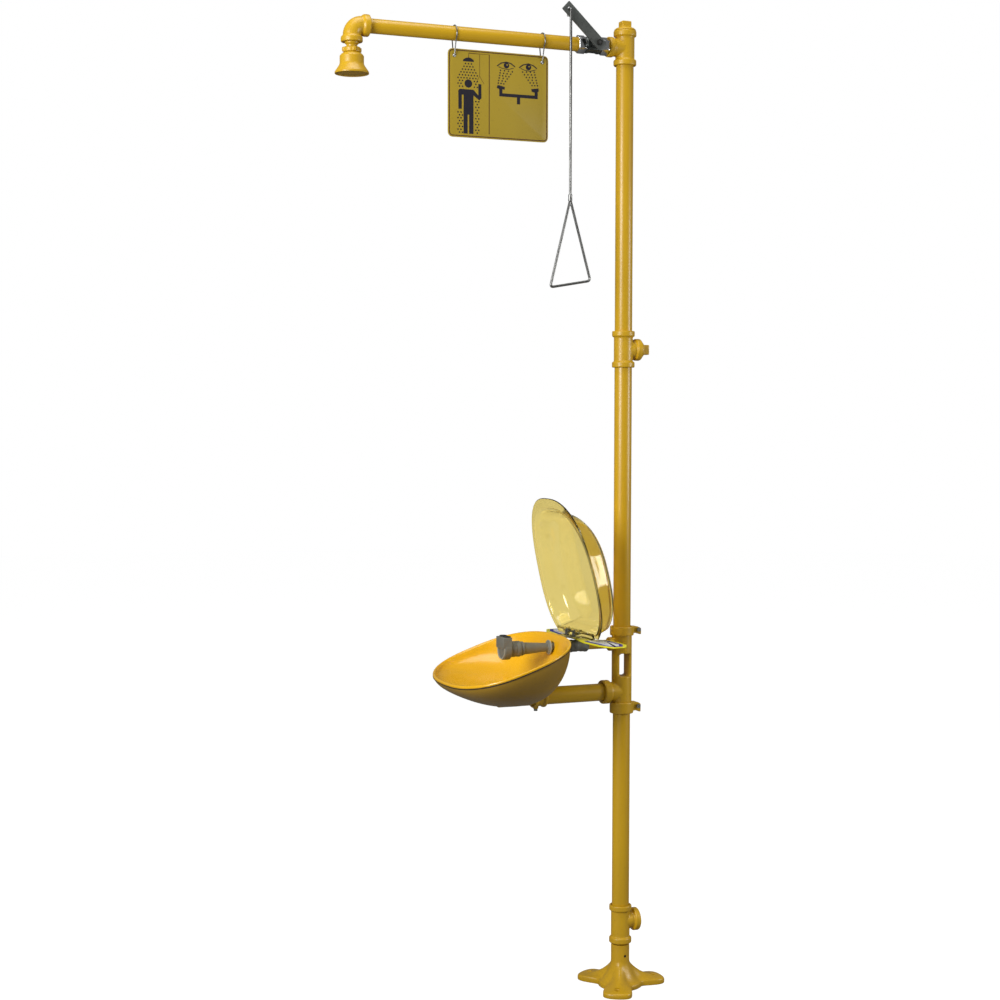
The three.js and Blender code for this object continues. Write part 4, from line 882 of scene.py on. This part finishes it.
board = modified(extruded(sign_outline(0, 11), (0, SIGN_THICK, 0)), "BEVEL", width=0.5 * MM, segments=2,
                 limit_method="ANGLE", angle_limit=math.radians(60))
hang_holes = [drill(3.2, -10, 10, at=(SIGN_X + u, 0, SIGN_TOP - HOLE_IN), axis=(0, 1, 0), sides=32)
              for u in (-111, 111)]
piece_of(machined(board, holes=hang_holes), "sign_board", sign_plastic, "sign_body", "sign_plastic",
         "sign_plate", smooth=30)
for name, u in (("left", -111), ("right", 111)):
    eyelet = turned([(3.3, 0), (4.4, 0), (4.4, 0.5), (3.3, 0.5)], closed=True, ease=0.2, axis=(0, -1, 0),
                    at=on_sign(u, -HOLE_IN), sides=32)
    piece_of(eyelet, "sign_" + name + "_eyelet", zinc, "sign_body", "sign_plastic")
INK = 0.22


def printed(outline, name, look=ink):
    """One solid printed shape, as a thin layer of ink on the sign's face."""
    shape = extruded([on_sign(u, v) for u, v in outline], (0, -INK, 0))
    return piece_of(shape, name, look, "sign_body", "sign_plastic", smooth=30)


def band_round(inset, corner, width):
    """A thin printed frame, inset from the edge of the sign."""
    piece = drawn(sign_outline(inset, corner), closed=True)
    bpy.ops.mesh.edge_face_add()
    bpy.ops.mesh.inset(thickness=width * MM)
    bpy.ops.mesh.delete(type="FACE")
    bpy.ops.mesh.select_all(action="SELECT")
    bpy.ops.mesh.extrude_region_move(TRANSFORM_OT_translate={"value": (0, -INK * MM, 0)})
    bpy.ops.mesh.select_all(action="SELECT")
    bpy.ops.mesh.normals_make_consistent(inside=False)
    bpy.ops.object.mode_set(mode="OBJECT")
    return piece


def circle(u, v, r, sides=32):
    return [(u + r * math.cos(2 * math.pi * i / sides), v + r * math.sin(2 * math.pi * i / sides))
            for i in range(sides)]


def stroke(points, width):
    """The outline of a line of even width, with square ends."""
    left, right = [], []
    for i, (u, v) in enumerate(points):
        u0, v0 = points[max(i - 1, 0)]
        u1, v1 = points[min(i + 1, len(points) - 1)]
        length = math.hypot(u1 - u0, v1 - v0)
        nu, nv = -(v1 - v0) / length * width / 2, (u1 - u0) / length * width / 2
        left.append((u + nu, v + nv))
        right.append((u - nu, v - nv))
    return left + right[::-1]


piece_of(band_round(2.6, 8.5, 2.2), "sign_border", maroon, "sign_body", "sign_plastic", smooth=30)
printed(stroke([(-75.7, -19), (-75.7, -8.6), (-23.8, -8.6), (-23.8, -192)], 1.8), "sign_divider", maroon)
printed([(-90, -28), (-62, -28), (-63.5, -23.5), (-70, -19.6), (-76, -18.6), (-82, -19.6),
         (-88.5, -23.5)], "sign_shower_rose")
printed(circle(-76.2, -78.5, 9.4), "sign_figure_head")
printed([(-98, -92), (-63.5, -92), (-51, -104.5), (-51.2, -78), (-44, -78), (-43.4, -110), (-48.5, -115.5),
         (-63.4, -105), (-63.4, -194), (-74, -194), (-74, -150), (-78, -150), (-78, -194), (-88, -194),
         (-88, -105), (-92.6, -105), (-92.6, -138), (-100.8, -138), (-101.2, -96)], "sign_figure_body")
printed(stroke([(-48, -9.2), (-48, -60)], 0.8), "sign_pull_line", maroon)
printed(stroke([(-48.4, -60.4), (-58, -77)], 0.8), "sign_pull_left", maroon)
printed(stroke([(-47.6, -60.4), (-37, -77)], 0.8), "sign_pull_right", maroon)
for name, u in (("left", 19.6), ("right", 75.7)):
    v = -30
    printed(stroke([(u - 24, v - 3), (u - 14, v + 4.5), (u, v + 8), (u + 12, v + 5), (u + 22, v - 2)], 2.5),
            "sign_" + name + "_lid")
    printed(stroke([(u - 20, v - 4), (u - 10, v - 7.5), (u + 4, v - 9), (u + 18, v - 5)], 1.5),
            "sign_" + name + "_lower_lid")
    printed(circle(u, v, 6.8), "sign_" + name + "_pupil")
    glint = extruded([on_sign(a, b, INK) for a, b in circle(u + 1.6, v + 1.4, 1.7, 16)], (0, -0.1, 0))
    piece_of(glint, "sign_" + name + "_glint", sign_plastic, "sign_body", "sign_plastic")
printed([(1.6, -102.5), (1.6, -86), (-5, -83), (-2.5, -76.5), (15.5, -79.8), (15.2, -86.5), (9.4, -85.6),
         (9.4, -95), (91.8, -95), (91.8, -87.5), (84.5, -86.6), (83, -80.4), (101.5, -77.4), (102.5, -84.4),
         (99.6, -86), (99.6, -102.5), (54.4, -102.5), (54.4, -118), (46.6, -118), (46.6, -102.5)],
        "sign_fountain")


def drops(spots, name):
    """Small printed water drops: one made, then copied to each place, all in one mesh."""
    here = Vector(on_sign(*spots[0]))
    piece = drawn([on_sign(u, v) for u, v in circle(*spots[0], 1.9, 8)], closed=True)
    bpy.ops.mesh.edge_face_add()
    bpy.ops.mesh.extrude_region_move(TRANSFORM_OT_translate={"value": (0, -INK * MM, 0)})
    bpy.ops.mesh.select_all(action="SELECT")
    bpy.ops.mesh.normals_make_consistent(inside=False)
    for spot in spots[1:]:
        there = Vector(on_sign(*spot))
        bpy.ops.mesh.duplicate_move(TRANSFORM_OT_translate={"value": (there - here) * MM})
        here = there
    bpy.ops.object.mode_set(mode="OBJECT")
    return piece_of(piece, name, ink, "sign_body", "sign_plastic", smooth=30)


def clear_of_figure(u, v):
    """Whether a drop falls beside the figure and its raised arm, with a small margin."""
    blocks = [(-103, -42, -117, -90), (-103, -61, -141, -90), (-90.5, -61, -200, -90), (-88, -64, -90, -66),
              (-53.5, -34, -117, -58)]
    return not any(a < u < b and c < v < d for a, b, c, d in blocks)


rain = []
for row in range(25):
    v = -33 - 6.6 * row
    half = min(29.5, 11 + 0.75 * (-33 - v))
    for column in range(-4, 5):
        u = -76 + column * 7.4 + (3.7 if row % 2 else 0)
        if abs(u + 76) <= half and v > -194 and clear_of_figure(u, v):
            rain.append((u, v))
drops(rain, "sign_shower_drops")
jets = []
for eye, nozzle, lean in ((19.6, 6, 1), (75.7, 92, -1)):
    for row in range(6):
        f = row / 5
        centre, half = eye + (nozzle - eye) * f, 15 - 8 * f
        n = 3 if row < 3 else 2
        for column in range(n + 1):
            jets.append((centre - half + 2 * half * column / n, -42 - 6 * row - lean * 0.5 * column))
drops(jets, "sign_eye_drops")

# ---- Sign hooks ---------------------------------------------------------------------------------
# Two loops of thin stainless wire. Each goes over the shower arm and through a hole of the sign.
hook_r, hole_v = 18.6, SIGN_TOP - HOLE_IN - ARM_Z
for side, u in (("left", -111), ("right", 111)):
    loop = [(hook_r * math.cos(math.radians(a)), hook_r * math.sin(math.radians(a)))
            for a in range(225, -46, -15)]
    line = eased([(3.2, hole_v - 6), (2.6, hole_v - 0.6), (-2.4, hole_v - 0.6), (-4, hole_v + 5),
                  (-6, hole_v + 12)], 3) + loop + eased([(8, hole_v + 12), (5.2, hole_v + 7)], 3)
    hook = wire([(SIGN_X + u, y, ARM_Z + z) for y, z in line], 1.4, sides=3)
    piece_of(hook, side + "_sign_hook_wire", rod_steel, "sign_body", "stainless", side + "_sign_hook",
             smooth=60)

# ---- Floor, lights and camera -------------------------------------------------------------------
# A pale studio floor, three large soft lights and a bright room, with the camera at the user's left.
begin()
bpy.ops.mesh.primitive_circle_add(vertices=96, radius=14, fill_type="NGON", location=(0, 0, -0.0005))
floor = bpy.context.object
floor.name = "studio_floor"
pale = bpy.data.materials.new("studio_floor")
pale.use_nodes = True
pale_face = pale.node_tree.nodes["Principled BSDF"]
seen = pale.node_tree.nodes.new("ShaderNodeLightPath")
pale_face.inputs["Base Color"].default_value = (0.22, 0.22, 0.22, 1)
pale_face.inputs["Roughness"].default_value = 0.8
pale_face.inputs["Specular IOR Level"].default_value = 0.1
pale_face.inputs["Emission Strength"].default_value = 0.95
through = pale.node_tree.nodes.new("ShaderNodeMath")
through.operation = "MAXIMUM"
pale.node_tree.links.new(seen.outputs["Is Camera Ray"], through.inputs[0])
pale.node_tree.links.new(seen.outputs["Is Transmission Ray"], through.inputs[1])
pale.node_tree.links.new(through.outputs[0], pale_face.inputs["Emission Color"])
floor.data.materials.append(pale)

world = bpy.data.worlds.new("bright_room")
bpy.context.scene.world = world
world.use_nodes = True
sky, rays = world.node_tree.nodes["Background"], world.node_tree.nodes.new("ShaderNodeLightPath")
level = world.node_tree.nodes.new("ShaderNodeMapRange")
level.inputs["To Min"].default_value, level.inputs["To Max"].default_value = 0.18, 1.0
direct = world.node_tree.nodes.new("ShaderNodeMath")
direct.operation = "MAXIMUM"
world.node_tree.links.new(rays.outputs["Is Camera Ray"], direct.inputs[0])
world.node_tree.links.new(rays.outputs["Is Transmission Ray"], direct.inputs[1])
world.node_tree.links.new(direct.outputs[0], level.inputs["Value"])
world.node_tree.links.new(level.outputs["Result"], sky.inputs["Strength"])
sky.inputs["Color"].default_value = (1, 1, 1, 1)

AIM = Vector((-0.25, 0, 1.2))
for name, at, size, power in (("left_softbox", (-3.4, -1.6, 2.2), 1.6, 125),
                              ("right_softbox", (2.6, -1.8, 1.6), 1.2, 44),
                              ("top_softbox", (-0.6, -0.6, 4.6), 2.2, 62)):
    light = bpy.data.lights.new(name, "AREA")
    light.shape, light.size, light.energy = "SQUARE", size, power
    lamp = bpy.data.objects.new(name, light)
    lamp.location = at
    lamp.rotation_euler = (AIM - lamp.location).to_track_quat("-Z", "Y").to_euler()
    bpy.context.scene.collection.objects.link(lamp)

camera_data = bpy.data.cameras.new("camera")
camera_data.lens, camera_data.sensor_width = 64.21, 36
camera = bpy.data.objects.new("camera", camera_data)
camera.location = (-1.937, -3.897, 1.4145)
camera.rotation_euler = (math.radians(87.15), math.radians(-0.11), math.radians(-22.49))
bpy.context.scene.collection.objects.link(camera)
bpy.context.scene.camera = camera
bpy.context.scene.view_settings.view_transform = "Standard"
